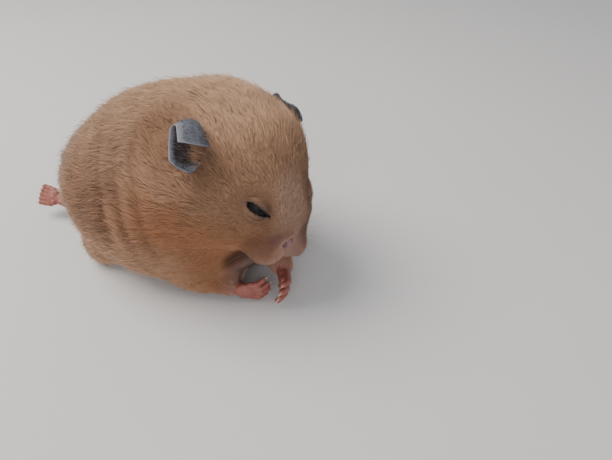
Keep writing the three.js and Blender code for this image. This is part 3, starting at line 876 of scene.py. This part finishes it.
claw_pieces = []
for limb, digits in claw_roots.items():
    shapes = []
    for tip, end, thin in digits:
        t = np.linspace(0, 1, CLAW_RINGS)[:, None]
        line = tip + end * (thin * 0.35 + CLAW_LENGTH * t) - np.array([0, 0, 0.35]) * t ** 2
        shapes.append((line, CLAW_RADIUS * (1 - 0.9 * t[:, 0] ** 1.3)))
    claws = tubes(f"claws_{limb}", shapes)
    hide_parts(*[f"claw_{limb}_{i + 1}" for i in range(len(digits))])
    claw_pieces.append(claws)

TAIL_ROOT, TAIL_TIP = (-1.5, 59.0, 12.8), (1.5, 73.2, 7.0)
tail = clay("tail_skin", along_bone(placed(TAIL_ROOT), placed(TAIL_TIP), 2.4, 1.1), 0.3, 3)
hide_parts("tail")
print("claws on", len(claw_roots), "limbs, and a tail")

# %% [markdown]
# ## The coat
# Each tuft is a lock of a few hairs: a thin solid spike of two segments, three-sided, closed at
# the root and ending in a point. It rises from the skin and then lies over, along the lie of the
# coat. On a hamster the fur runs back from the nose over the crown to the neck, along the flanks
# to the rump, and down the limbs. It is short and dense on the face, and long on the rump.

# %% Which way the coat lies
random = np.random.default_rng(7)
LIMB_BONES = (                            # elbow or knee, wrist or heel, reach
    ((-16, 10.5, 7.4), HANDS["right"]["wrist"], 8.5), ((9, 0, 8), HANDS["left"]["wrist"], 8.0),
    ((-18.2, 45, 8), FEET["right"]["heel"], 9.5), ((17, 34, 11), FEET["left"]["heel"], 8.0))


def ripples(points, wavelength, seed):
    """Soft noise between about -1 and 1, as a sum of slow waves in seeded directions."""
    waves = np.random.default_rng(seed)
    total = np.zeros(len(points))
    for _ in range(7):
        direction = unit(waves.normal(size=3)) * 2 * math.pi / (wavelength * waves.uniform(0.6, 1.5))
        total += np.sin(points @ direction + waves.uniform(0, 2 * math.pi))
    return total / 2.6


def along_limbs(points):
    """The direction of the nearest limb's bone, and how surely the point lies on a limb."""
    direction, sure = np.zeros_like(points), np.zeros(len(points))
    for start, end, reach in LIMB_BONES:
        start, bone = placed(start), placed(end) - placed(start)
        t = np.clip((points - start) @ bone / (bone @ bone), 0, 1.15)
        away = distance(points, start + t[:, None] * bone)
        weight = (1 - step(reach * 0.75, reach, away)) * step(0.02, 0.3, t)
        direction = np.where((weight > sure)[:, None], unit(bone), direction)
        sure = np.maximum(sure, weight)
    return direction, sure


def turned_about(direction, normal, angle):
    return direction * np.cos(angle)[:, None] + np.cross(normal, direction) * np.sin(angle)[:, None]


def lie_of_coat(points, normals):
    forward = in_head(points)[:, 1]
    fall = 0.22 + 0.5 * step(5, 30, points[:, 1]) + 0.3 * (1 - step(10, 24, points[:, 2]))
    body = unit(np.stack([np.zeros(len(points)), np.ones(len(points)), -fall], axis=1))
    from_nose = unit(points - from_head(0, 23.5, -4.5))
    head = unit(from_nose - 0.75 * HEAD_FORWARD * step(24, 14, forward)[:, None])
    on_head = step(-16, 2, forward)[:, None]
    direction = unit(body * (1 - on_head) + head * on_head)
    limb, sure = along_limbs(points)
    direction = unit(direction * (1 - sure[:, None]) + limb * sure[:, None])
    lie = along_tangent(direction, normals)
    calm = 1 - 0.6 * step(8, 20, forward)
    angle = calm * (0.30 * ripples(points, 17, 3) + 0.22 * ripples(points, 6, 4))
    return turned_about(lie, normals, angle)


def fur_length(points):
    _, forward, up = in_head(points).T
    to_muzzle = distance(in_head(points), MUZZLE)
    _, on_limb = along_limbs(points)
    head = 4.6 - 0.9 * step(-4, 8, up)
    head = blend(head, 2.3, step(EYE_LINE - 4, EYE_LINE + 5, forward))
    head = blend(head, 1.25, 1 - step(5, 12, to_muzzle))
    body = 5.2 + 2.3 * step(10, 34, points[:, 2]) * step(-25, 5, points[:, 1])
    length = blend(body, head, step(-14, 4, forward))
    length = blend(length, 1.15, 1 - step(3.6, 7.5, to_eyes(points)))
    length = blend(length, 3.4, on_limb * 0.9)
    return blend(length, 1.7, near_limb_end(points, 15))


# %% [markdown]
# Tufts stand closer where they are shorter, so every part is covered. Roots are spread evenly over
# the skin by the share of the wanted number that each face carries. None grows in the opening of
# an eye, on the nose, or on the flat that rests on the floor.

# %% Where the tufts grow
TUFTS = 196_000
skin_mesh.calc_loop_triangles()
triangles, loops = (read(skin_mesh.loop_triangles, what, 3, np.int32) for what in ("vertices", "loops"))
skin_uv = read(skin_mesh.uv_layers["OFBake"].data, "uv", 2)
skin_points, skin_normals = points_of(skin_mesh), normals_of(skin_mesh)


def in_opening(points):
    """How far inside the opening between the lids each point is, in millimetres."""
    deepest = np.full(len(points), -9.0)
    for side in SIDES:
        inside = around_opening(points, side)[3]
        close = distance(points, eye_at[side]) < 7
        deepest = np.maximum(deepest, np.where(close, inside, -9))
    return deepest


def wanted_density(points, normals):
    density = 2.2 / np.maximum(fur_length(points), 1.1) ** 1.15
    density = density * np.where(points[:, 2] < 9, 0.8, 1.0)
    bare = (in_opening(points) > -0.35) | ((points[:, 2] < 1.3) & (normals[:, 2] < -0.5))
    bare |= np.linalg.norm((points - nose_at) @ HEAD_AXES.T / (NOSE_RADII + 0.2), axis=1) < 1
    for end in (*WRIST.values(), *HEEL.values()):
        bare |= distance(points, end) < 2.2
    return np.where(bare, 0, density)


corners = skin_points[triangles]
face_normal = np.cross(corners[:, 1] - corners[:, 0], corners[:, 2] - corners[:, 0])
face_area = np.linalg.norm(face_normal, axis=1) / 2
share = face_area * wanted_density(corners.mean(axis=1), unit(face_normal))
ladder = np.cumsum(share) / share.sum()
picked = np.searchsorted(ladder, (np.arange(TUFTS) + random.uniform(size=TUFTS)) / TUFTS)
picked = np.minimum(picked, len(triangles) - 1)
a, b = random.uniform(size=(2, TUFTS))
a, b = np.where(a + b > 1, 1 - a, a), np.where(a + b > 1, 1 - b, b)
barycentric = np.stack([1 - a - b, a, b], axis=1)
roots = np.einsum("tc,tcx->tx", barycentric, skin_points[triangles[picked]])
normals = unit(np.einsum("tc,tcx->tx", barycentric, skin_normals[triangles[picked]]))
root_uv = np.einsum("tc,tcx->tx", barycentric, skin_uv[loops[picked]])
print("skin area", round(face_area.sum()), "mm2, tufts", TUFTS)

# %% [markdown]
# Hairs hold together in locks. Every tuft leans its tip towards the tip of a near leader, so the
# coat parts into locks with darker gaps between them. A lock is paler or darker as a whole. One
# tuft in twenty is a guard hair, longer and steeper than the rest, which makes the outline soft.

# %% Shape of every tuft
LOCK_SHARE, GUARD_SHARE, PULL = 1 / 16, 0.05, 0.22
length = fur_length(roots) * random.uniform(0.8, 1.15, TUFTS)
guard = (random.uniform(size=TUFTS) < GUARD_SHARE) & (length > 2.6)
length = np.where(guard, length * 1.25, length)
lie = turned_about(lie_of_coat(roots, normals), normals, random.normal(0, 0.14, TUFTS))
rise = coat_depth(roots) * random.uniform(0.66, 1.14, TUFTS) * np.where(guard, 1.5, 1.0)
steep = np.clip(rise / length, 0.1, 0.85)
half = length[:, None] / 2


def lean(share):
    return lie * np.sqrt(1 - share ** 2)[:, None] + normals * share[:, None]


def tree_of(places):
    tree = KDTree(len(places))
    for i, at in enumerate(places):
        tree.insert(at, i)
    tree.balance()
    return tree


def nearest(tree, places):
    return np.array([tree.find(at)[1] for at in places])


middles = roots + half * lean(np.clip(steep * 1.45, 0, 0.95))
tips = middles + half * lean(steep * 0.55)
leaders = np.nonzero(random.uniform(size=TUFTS) < LOCK_SHARE)[0]
own_leader = leaders[nearest(tree_of(roots[leaders]), roots)]
pull = (PULL * step(0.9, 4.0, length) * random.uniform(0.4, 1.1, TUFTS) * ~guard)[:, None]
tips += (tips[own_leader] - tips) * pull
middles += (middles[own_leader] - middles) * pull * 0.35
tips[:, 2] = np.maximum(tips[:, 2], 0.25)
middles[:, 2] = np.maximum(middles[:, 2], 0.3)

shade = 0.8 * random.normal(size=TUFTS) + 0.6 * random.normal(size=TUFTS)[own_leader]
thicker = 1.0
width = (0.085 + 0.014 * length) * random.uniform(0.75, 1.25, TUFTS) * thicker
STRAIGHT_BELOW = 2.4                      # shorter tufts need no bend
bent = length >= STRAIGHT_BELOW
coat = {"root": roots, "middle": middles, "tip": tips, "up": normals, "width": width, "shade": shade,
        "uv": root_uv}
print("locks:", len(leaders), "lengths", length.min().round(2), "to", length.max().round(2), "mm")
print("bent tufts:", bent.sum(), "straight:", (~bent).sum())


# %% [markdown]
# All tufts become meshes at once. The rings of every tuft are one array, and the faces repeat the
# same few triangles with an offset. A long tuft has a ring half way, where it bends, and a short
# one is a plain spike. The pieces are cut into bands from the nose to the rump. Each carries its
# root's place, how far along the tuft a point is, and the tuft's own shade.

# %% Build the fur
RING = ((0.5, 0.0), (-0.5, 0.0), (0.0, 0.62))     # across and up, in widths
BENT_FACES = np.array([(0, 2, 1), (0, 1, 4), (0, 4, 3), (1, 2, 5), (1, 5, 4), (2, 0, 3), (2, 3, 5),
                       (3, 4, 6), (4, 5, 6), (5, 3, 6)])
SPIKE_FACES = np.array([(0, 2, 1), (0, 1, 3), (1, 2, 3), (2, 0, 3)])
PATCH = 0.003                             # a tuft's own spot on the map, as a share of its side
PIECE_LIMIT = 190_000                     # triangles


def fur_mesh(name, hair, part, is_bent):
    """The tufts numbered in `part` as one mesh. `hair` holds the arrays of all of them."""
    at, up, tip, thick = hair["root"][part], hair["up"][part], hair["tip"][part], hair["width"][part]
    across = unit(np.cross(up, tip - at))
    rings = [(at - up * 0.2, 1.0, 0.0)] + ([(hair["middle"][part], 0.8, 0.5)] if is_bent else [])
    columns, along, sideways = [], [], []
    for centre, size, share in rings:
        for x, y in RING:
            scale = (size * thick)[:, None]
            columns.append(centre + across * x * scale + up * y * scale)
            along.append(share)
            sideways.append(2 * x)
    points = np.stack([*columns, tip], axis=1).reshape(-1, 3)
    pattern = BENT_FACES if is_bent else SPIKE_FACES
    each, count = len(columns) + 1, len(part)
    faces = (pattern[None] + each * np.arange(count)[:, None, None]).reshape(-1, 3)
    mesh = bpy.data.meshes.new(name)
    mesh.vertices.add(len(points))
    mesh.loops.add(faces.size)
    mesh.polygons.add(len(faces))
    mesh.vertices.foreach_set("co", (points * MM).astype(np.float32).ravel())
    mesh.loops.foreach_set("vertex_index", faces.astype(np.int32).ravel())
    mesh.polygons.foreach_set("loop_start", np.arange(len(faces), dtype=np.int32) * 3)
    mesh.polygons.foreach_set("use_smooth", np.ones(len(faces), bool))
    along = np.tile([*along, 1.0], count)
    add_attribute(mesh, "root", "FLOAT_VECTOR", np.repeat(at, each, axis=0))
    add_attribute(mesh, "along", "FLOAT", along)
    add_attribute(mesh, "shade", "FLOAT", np.repeat(hair["shade"][part], each))
    beside = np.tile([*sideways, 0.0], count) * PATCH / 2
    patch = np.repeat(hair["uv"][part], each, axis=0) + np.stack([beside, (along - 0.5) * PATCH], axis=1)
    layer = mesh.uv_layers.new(name="OFBake")
    layer.data.foreach_set("uv", patch[faces.ravel()].astype(np.float32).ravel())
    mesh.update()
    mesh.validate()
    return mesh


def fur_pieces(name, material, hair, chosen, is_bent):
    """Splits the chosen tufts into pieces within the limit, in the order given."""
    made = []
    in_all = len(chosen) * len(BENT_FACES if is_bent else SPIKE_FACES)
    for part in np.array_split(chosen, math.ceil(in_all / PIECE_LIMIT)):
        mesh = fur_mesh(f"{name}_{len(made) + 1}", hair, part, is_bent)
        mesh.materials.append(material)
        piece = linked(mesh.name, mesh)
        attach(piece, "root")
        made.append(piece)
    return made


# %% [markdown]
# ## Colours
# One function gives the coat's colour at a place on the body. The skin and every tuft use it with
# the place of the root, so the markings run through the fur from skin to tip. The crown and back
# are tan, the flanks browner, the cheeks and chest orange, and the muzzle paler and pinker. The
# flanks' brown is partly their own colour and partly painted shade, and the folds on the flanks
# get darker bands of painted shade. Under the chin, on the right, a dark patch is painted shadow.

# %% The coat's colour at a place
TAN, FLANK_AND_SHADE, LOW, SAND = (0.55, 0.35, 0.22), (0.37, 0.20, 0.118), (0.60, 0.37, 0.23), (0.66, 0.42, 0.27)
ORANGE, FACE, FAWN, PALE = (0.50, 0.225, 0.105), (0.45, 0.265, 0.16), (0.32, 0.155, 0.09), (0.64, 0.45, 0.33)
SNOUT, MUZZLE_PINK, ROSE = (0.58, 0.40, 0.29), (0.52, 0.31, 0.24), (0.62, 0.38, 0.31)
BROWN, GREY_BROWN, SHADOW_BROWN = (0.24, 0.105, 0.05), (0.27, 0.17, 0.13), (0.09, 0.03, 0.018)
PLUM = (0.20, 0.10, 0.10)
# Soft patches: the middle, where the patch starts to fade and where it ends, its strength and its
# paint. The middle of a side patch is a place of the head, and stands for both sides.
MUZZLE_PATCH = from_head(0, 26.0, -8.5), 5.0, 10.5, 0.85, MUZZLE_PINK
# Painted shadow: a dark brown patch on the right under the chin, where the cheek shades the chest.
THROAT_SHADOW = from_head(-4.5, 19.5, -20.5), 4.0, 8.0, 0.9, SHADOW_BROWN
SIDE_PATCHES = (((9.6, 18.2, 4.2), 2.8, 6.0, 0.3, GREY_BROWN),      # round the eye
                ((8.4, 25.6, -5.8), 2.0, 6.0, 0.8, FAWN),           # whisker pad
                ((4.4, 26.4, -3.2), 0.6, 2.8, 0.5, PLUM),           # beside the nose
                ((19, -5, 5.5), 5, 14, 0.62, BROWN),                # behind the ear
                ((15.5, 6, 8), 3, 9, 0.35, BROWN))                  # in front of the ear
LIMB_PATCHES = ((HEEL["right"], 13, 26, 0.6, PALE), (HEEL["left"], 7, 14, 0.6, PALE),
                *((at, 5, 15, 0.8, ROSE) for at in WRIST.values()))


def coat_colour(tree, root):
    """root is a place in millimetres."""
    left, forward, up = (root.minus(HEAD_AT).dot(axis) for axis in HEAD_AXES)
    x, y, height = (root.dot(axis) for axis in np.eye(3))
    cloud = tree.noise(root, 0.07, 3.0) - 0.5
    on_side = abs(x)

    def patch(colour, at, near, far, strength, paint):
        share = 1 - (root.distance(at) + cloud * 3).ramp(near, far)
        return tree.mix(share * strength, colour, paint)

    # The flanks' brown below the back: partly their own colour, partly painted shade of the sides.
    colour = tree.mix(1 - (height + cloud * 10).ramp(36, 58), TAN, FLANK_AND_SHADE)
    colour = tree.mix(1 - (height + cloud * 10).ramp(6, 24), colour, LOW)
    chest = (1 - (height + cloud * 6).ramp(9, 22)) * (1 - (y + cloud * 8).ramp(-34, -14))
    colour = tree.mix(chest, colour, ORANGE)
    colour = tree.mix((forward + cloud * 6).ramp(2, 14) * 0.8, colour, FACE)
    cheek = (1 - (up + cloud * 4).ramp(-11, 2)) * forward.ramp(-6, 8)
    colour = tree.mix(cheek * 0.75, colour, ORANGE)
    crest = (1 - (abs(left) + cloud * 4).ramp(1.5, 7.0)) * forward.ramp(13, 20)
    colour = patch(tree.mix(crest * 0.75, colour, SNOUT), *MUZZLE_PATCH)
    for side in SIDES:
        for place, *rest in SIDE_PATCHES:
            colour = patch(colour, mirrored(side, place), *rest)
    # painted shadow under the chin
    colour = patch(colour, *THROAT_SHADOW)
    low_side = on_side.ramp(12, 22) * (1 - (height + cloud * 6).ramp(18, 32)) * y.ramp(-34, -22)
    colour = tree.mix(low_side * 0.6, colour, SAND)
    colour = tree.mix(y.ramp(2, 17) * height.ramp(8, 30) * 0.6, colour, PALE)
    flank = on_side.ramp(10, 18) * height.ramp(16, 26) * (1 - height.ramp(50, 60))
    # Painted shade: darker brown bands along the three folds of the flanks, as in their creases.
    for at in FOLDS_AT:
        fold = (1 - abs(y - height.ramp(40, 60) * 6.0 - at + cloud * 3).ramp(0.3, 3.2)) * flank
        colour = tree.mix(fold * 0.2, colour, BROWN)
    for at, near, far, strength, paint in LIMB_PATCHES:
        colour = tree.mix((1 - root.distance(at).ramp(near, far)) * strength, colour, paint)
    return colour


# %% [markdown]
# A hair is darker at its root, where little light comes, and clear towards its tip. So the gaps
# between locks stay dark. Each lock differs a little from the next.

# %% Materials of the coat and the skin
LID_SKIN, LID_MARGIN, GRAIN = (0.17, 0.125, 0.115), (0.022, 0.016, 0.016), (0.20, 0.115, 0.075)


def fur_material():
    tree = Tree("coat_hair")
    colour = coat_colour(tree, tree.attribute("root", "Vector"))
    dark = tree.mix(1.0, colour, (0.82, 0.75, 0.72), "MULTIPLY")
    colour = tree.mix(tree.attribute("along").ramp(0.0, 0.7), dark, colour)
    colour = colour.scaled(tree.attribute("shade") * 0.07 + 1.0)
    return tree.surface(Base_Color=colour, Roughness=0.65, Specular_IOR_Level=0.12,
                        Sheen_Weight=0.06, Sheen_Roughness=0.4)


def plain_hair(name, paint):
    tree = Tree(name)
    colour = tree.mix(tree.attribute("along"), tuple(0.5 * part for part in paint), paint)
    colour = colour.scaled(tree.attribute("shade") * 0.3 + 1.0)
    return tree.surface(Base_Color=colour, Roughness=0.5, Specular_IOR_Level=0.2)


def skin_material():
    tree = Tree("skin_under_coat")
    root, lid = tree.attribute("root", "Vector"), tree.attribute("lid")
    colour = tree.mix(1.0, coat_colour(tree, root), (0.80, 0.72, 0.68), "MULTIPLY")
    grain = tree.noise(root.stretched((1.0, 0.4, 1.0)), 2.4, 4.0)
    colour = tree.mix(grain * 0.3, colour, GRAIN)
    colour = tree.mix(lid.ramp(-1.5, -0.5), colour, LID_SKIN)
    colour = tree.mix(lid.ramp(-0.62, -0.2), colour, LID_MARGIN)
    return tree.surface(Base_Color=colour, Roughness=0.8, Specular_IOR_Level=0.2,
                        Normal=tree.bump(grain, 0.5, 0.0003))


coat_hair = fur_material()
add_attribute(skin_mesh, "root", "FLOAT_VECTOR", skin_points)
add_attribute(skin_mesh, "lid", "FLOAT", in_opening(skin_points))
skin_mesh.materials.append(skin_material())
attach(skin, "root")
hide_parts(*FLESH)
print("coat and skin coloured")

# %% [markdown]
# Bare skin is pink with finer red pores. The nose is mauve, with dark nostrils. An ear is blue-grey
# outside, with a paler rim. Its hollow is painted dark brown towards the middle and the root, as
# painted shade of the cup. The eye is nearly black, and the claws are horn.


# %% Materials of the bare parts
def object_millimetres(tree):
    return tree.node("ShaderNodeTexCoord", {}, {}, "Object").scaled(1000.0)


def bare_skin_material():
    tree = Tree("bare_skin")
    place = object_millimetres(tree)
    blotch, pores = tree.noise(place, 0.35, 2.0), tree.noise(place, 3.2, 4.0)
    colour = tree.mix(blotch, (0.26, 0.075, 0.055), (0.36, 0.125, 0.09))
    colour = tree.mix(pores.ramp(0.45, 0.7) * 0.35, colour, (0.27, 0.07, 0.05))
    return tree.surface(Base_Color=colour, Roughness=0.48, Subsurface_Weight=0.15, Subsurface_Scale=0.0015,
                        Subsurface_Radius=(1.0, 0.35, 0.2), Normal=tree.bump(pores, 0.35, 0.0002))


def nose_material():
    tree = Tree("nose_skin")
    place = object_millimetres(tree)
    grain = tree.noise(place, 4.5, 3.0)
    aside, above = (place.minus(nose_at).dot(axis) for axis in (HEAD_LEFT, HEAD_UP))
    pits = 1 - abs(abs(aside) - 1.6).ramp(0.3, 1.0)
    colour = tree.mix(grain, (0.21, 0.105, 0.11), (0.28, 0.145, 0.14))
    colour = tree.mix(pits * above.ramp(-1.2, -0.2) * 0.85, colour, (0.07, 0.025, 0.028))
    return tree.surface(Base_Color=colour, Roughness=0.38, Normal=tree.bump(grain, 0.4, 0.0002))


def ear_material():
    tree = Tree("ear_skin")
    place, to_edge = object_millimetres(tree), tree.attribute("to_edge")
    blotch, fine = tree.noise(place, 0.25, 2.0), tree.noise(place, 2.6, 4.0)
    outside = tree.mix(blotch, (0.095, 0.10, 0.12), (0.15, 0.155, 0.18))
    outside = tree.mix(fine.ramp(0.5, 0.75) * 0.3, outside, (0.24, 0.24, 0.27))
    # Painted shade: the inner face darkens to dark brown towards the middle and root of the cup.
    hollow = tree.mix(to_edge.ramp(0.66, 0.92), (0.05, 0.030, 0.026), (0.15, 0.155, 0.18))
    colour = tree.mix(tree.attribute("inner"), outside, hollow)
    colour = tree.mix(to_edge.ramp(0.92, 1.0) * 0.35, colour, (0.34, 0.34, 0.36))
    return tree.surface(Base_Color=colour, Roughness=0.5, Specular_IOR_Level=0.4,
                        Normal=tree.bump(fine, 0.4, 0.0002))


def cloudy(name, scale, detail, dark, light, **settings):
    tree = Tree(name)
    cloud = tree.noise(object_millimetres(tree), scale, detail)
    return tree.surface(Base_Color=tree.mix(cloud, dark, light), **settings)


def dress(pieces, material):
    for piece in pieces:
        piece.data.materials.append(material)


dress([*bare_parts, tail], bare_skin_material())
dress([nose], nose_material())
dress(eyes, cloudy("wet_eye", 0.8, 1.0, (0.006, 0.006, 0.006), (0.012, 0.011, 0.011), Roughness=0.3,
                   Specular_IOR_Level=0.1))
dress(ears, ear_material())
dress(claw_pieces, cloudy("claw_horn", 2.0, 2.0, (0.50, 0.38, 0.30), (0.66, 0.55, 0.46), Roughness=0.35))
print("materials:", len(bpy.data.materials))

# %% [markdown]
# The tufts are sorted along the body before they are cut into pieces, so that each piece is a band.

# %% Dress the body in fur
back_to_front = np.argsort(roots[:, 1])
fur = fur_pieces("fur_long", coat_hair, coat, back_to_front[bent[back_to_front]], True)
fur += fur_pieces("fur_short", coat_hair, coat, back_to_front[~bent[back_to_front]], False)
for piece in fur:
    print(piece.name, len(piece.data.polygons), "triangles")

# %% [markdown]
# The ears carry their own hair. Fine pale down lies over both faces of each leaf and points to its
# tip. Longer buff hairs grow at the root in front of the ear and cross its open hollow. Whiskers
# are the last: long thin hairs in three rows on each side of the muzzle.


# %% Down on the ears, hair across the hollow, and whiskers
DOWN_PER_FACE, HOLLOW_HAIRS, WHISKER_ROWS, WHISKER_COLUMNS = 800, 420, 3, 4
HOLLOW_TOP, HOLLOW_LOW = (15.7, -0.8, 14.3), (23.4, 7.4, 11.3)      # ends of the line of roots
skin_tree = tree_of(skin_points)
skin_point_uv = np.zeros((len(skin_points), 2))
skin_point_uv[triangles.ravel()] = skin_uv[loops.ravel()]
down_paint, whisker_paint = (0.30, 0.30, 0.325), (0.36, 0.28, 0.23)
down_material, whisker_material = plain_hair("ear_down", down_paint), plain_hair("whisker", whisker_paint)


def hair_from(root, up, direction, length, droop, width):
    """Arrays of bent hairs. `droop` turns the tip half."""
    half = length[:, None] / 2
    bend = root + direction * half
    return {"root": root, "up": up, "middle": bend, "tip": bend + unit(direction + droop) * half,
            "width": np.full(len(root), width), "shade": random.normal(size=len(root)),
            "uv": skin_point_uv[nearest(skin_tree, root)]}


def ear_down(side):
    """Down on both faces of the leaf, darker on the inner face as painted shade of the hollow."""
    at, out = ear_leaves[side]
    count = 2 * DOWN_PER_FACE
    spot = random.integers(3, EAR_ROWS - 5, count), random.integers(1, at.shape[1] - 1, count)
    face = np.repeat([1.0, -1.0], DOWN_PER_FACE)[:, None]
    up = out[spot] * face
    root = at[spot] + up * EAR["thickness"] * 0.45 + random.normal(0, 0.12, (count, 3))
    tipwards = unit(np.gradient(at, axis=0))[spot]
    direction = unit(tipwards + up * 0.22 + random.normal(0, 0.16, (count, 3)))
    down = hair_from(root, up, direction, random.uniform(1.2, 2.2, count), -0.35 * up, 0.10)
    # painted shade: the down on the inner face is darker
    down["shade"] -= 1.1 * (face[:, 0] + 1)
    return down


def hollow_hair(side):
    """Longer hair from the skin in front of the ear, across its hollow."""
    along, open_side = (way_of_head(EAR_SHAPES[side][key]) for key in ("along", "open"))
    share = random.uniform(0, 1, HOLLOW_HAIRS)[:, None]
    base = mirrored(side, HOLLOW_TOP) * (1 - share) + mirrored(side, HOLLOW_LOW) * share
    near = nearest(skin_tree, base + random.normal(0, 0.9, base.shape))
    root, up = skin_points[near], skin_normals[near]
    direction = unit(along + open_side * 0.55 + up * 0.25 + random.normal(0, 0.10, root.shape))
    return hair_from(root, up, direction, random.uniform(2.8, 5.2, HOLLOW_HAIRS), -0.5 * open_side, 0.09)


def whisker_lines(side):
    sign, t = SIGN[side], np.linspace(0, 1, 9)[:, None]
    for i in range(WHISKER_ROWS):
        for j in range(WHISKER_COLUMNS):
            place = from_head(sign * (4.2 + 1.5 * j) + 0.9, 26.5 - 1.6 * j, -7.4 - 1.7 * i)
            start = skin_points[skin_tree.find(place)[1]]
            outward = (HEAD_LEFT * sign * (0.55 + 0.1 * j) + HEAD_FORWARD * (0.55 - 0.2 * j)
                       - HEAD_UP * (0.10 + 0.16 * i))
            sag = HEAD_FORWARD * 1.6 + np.array([0, 0, 1.4])
            yield start + unit(outward) * (8 + 2.2 * j) * t - sag * t ** 2, 0.03 * (1 - 0.8 * t[:, 0])


for side in SIDES:
    down, across = ear_down(side), hollow_hair(side)
    fur_pieces(f"ear_down_{side}", down_material, down, np.arange(2 * DOWN_PER_FACE), True)
    fur_pieces(f"ear_front_{side}", coat_hair, across, np.arange(HOLLOW_HAIRS), True)
    whiskers = tubes(f"whiskers_{side}", whisker_lines(side), 5)
    whiskers.data.materials.append(whisker_material)
print("ear down, hollow hairs and whiskers grown")

# %% [markdown]
# The last cell notes the sizes, of the imported solids and of the finished animal.

# %% Sizes
bpy.context.view_layer.update()
full_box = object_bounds()
sizes = {name: [[round(c, 5) for c in corner] for corner in box] for name, box in
         (("cad", cad_box), ("visual", full_box))}
print(sizes)
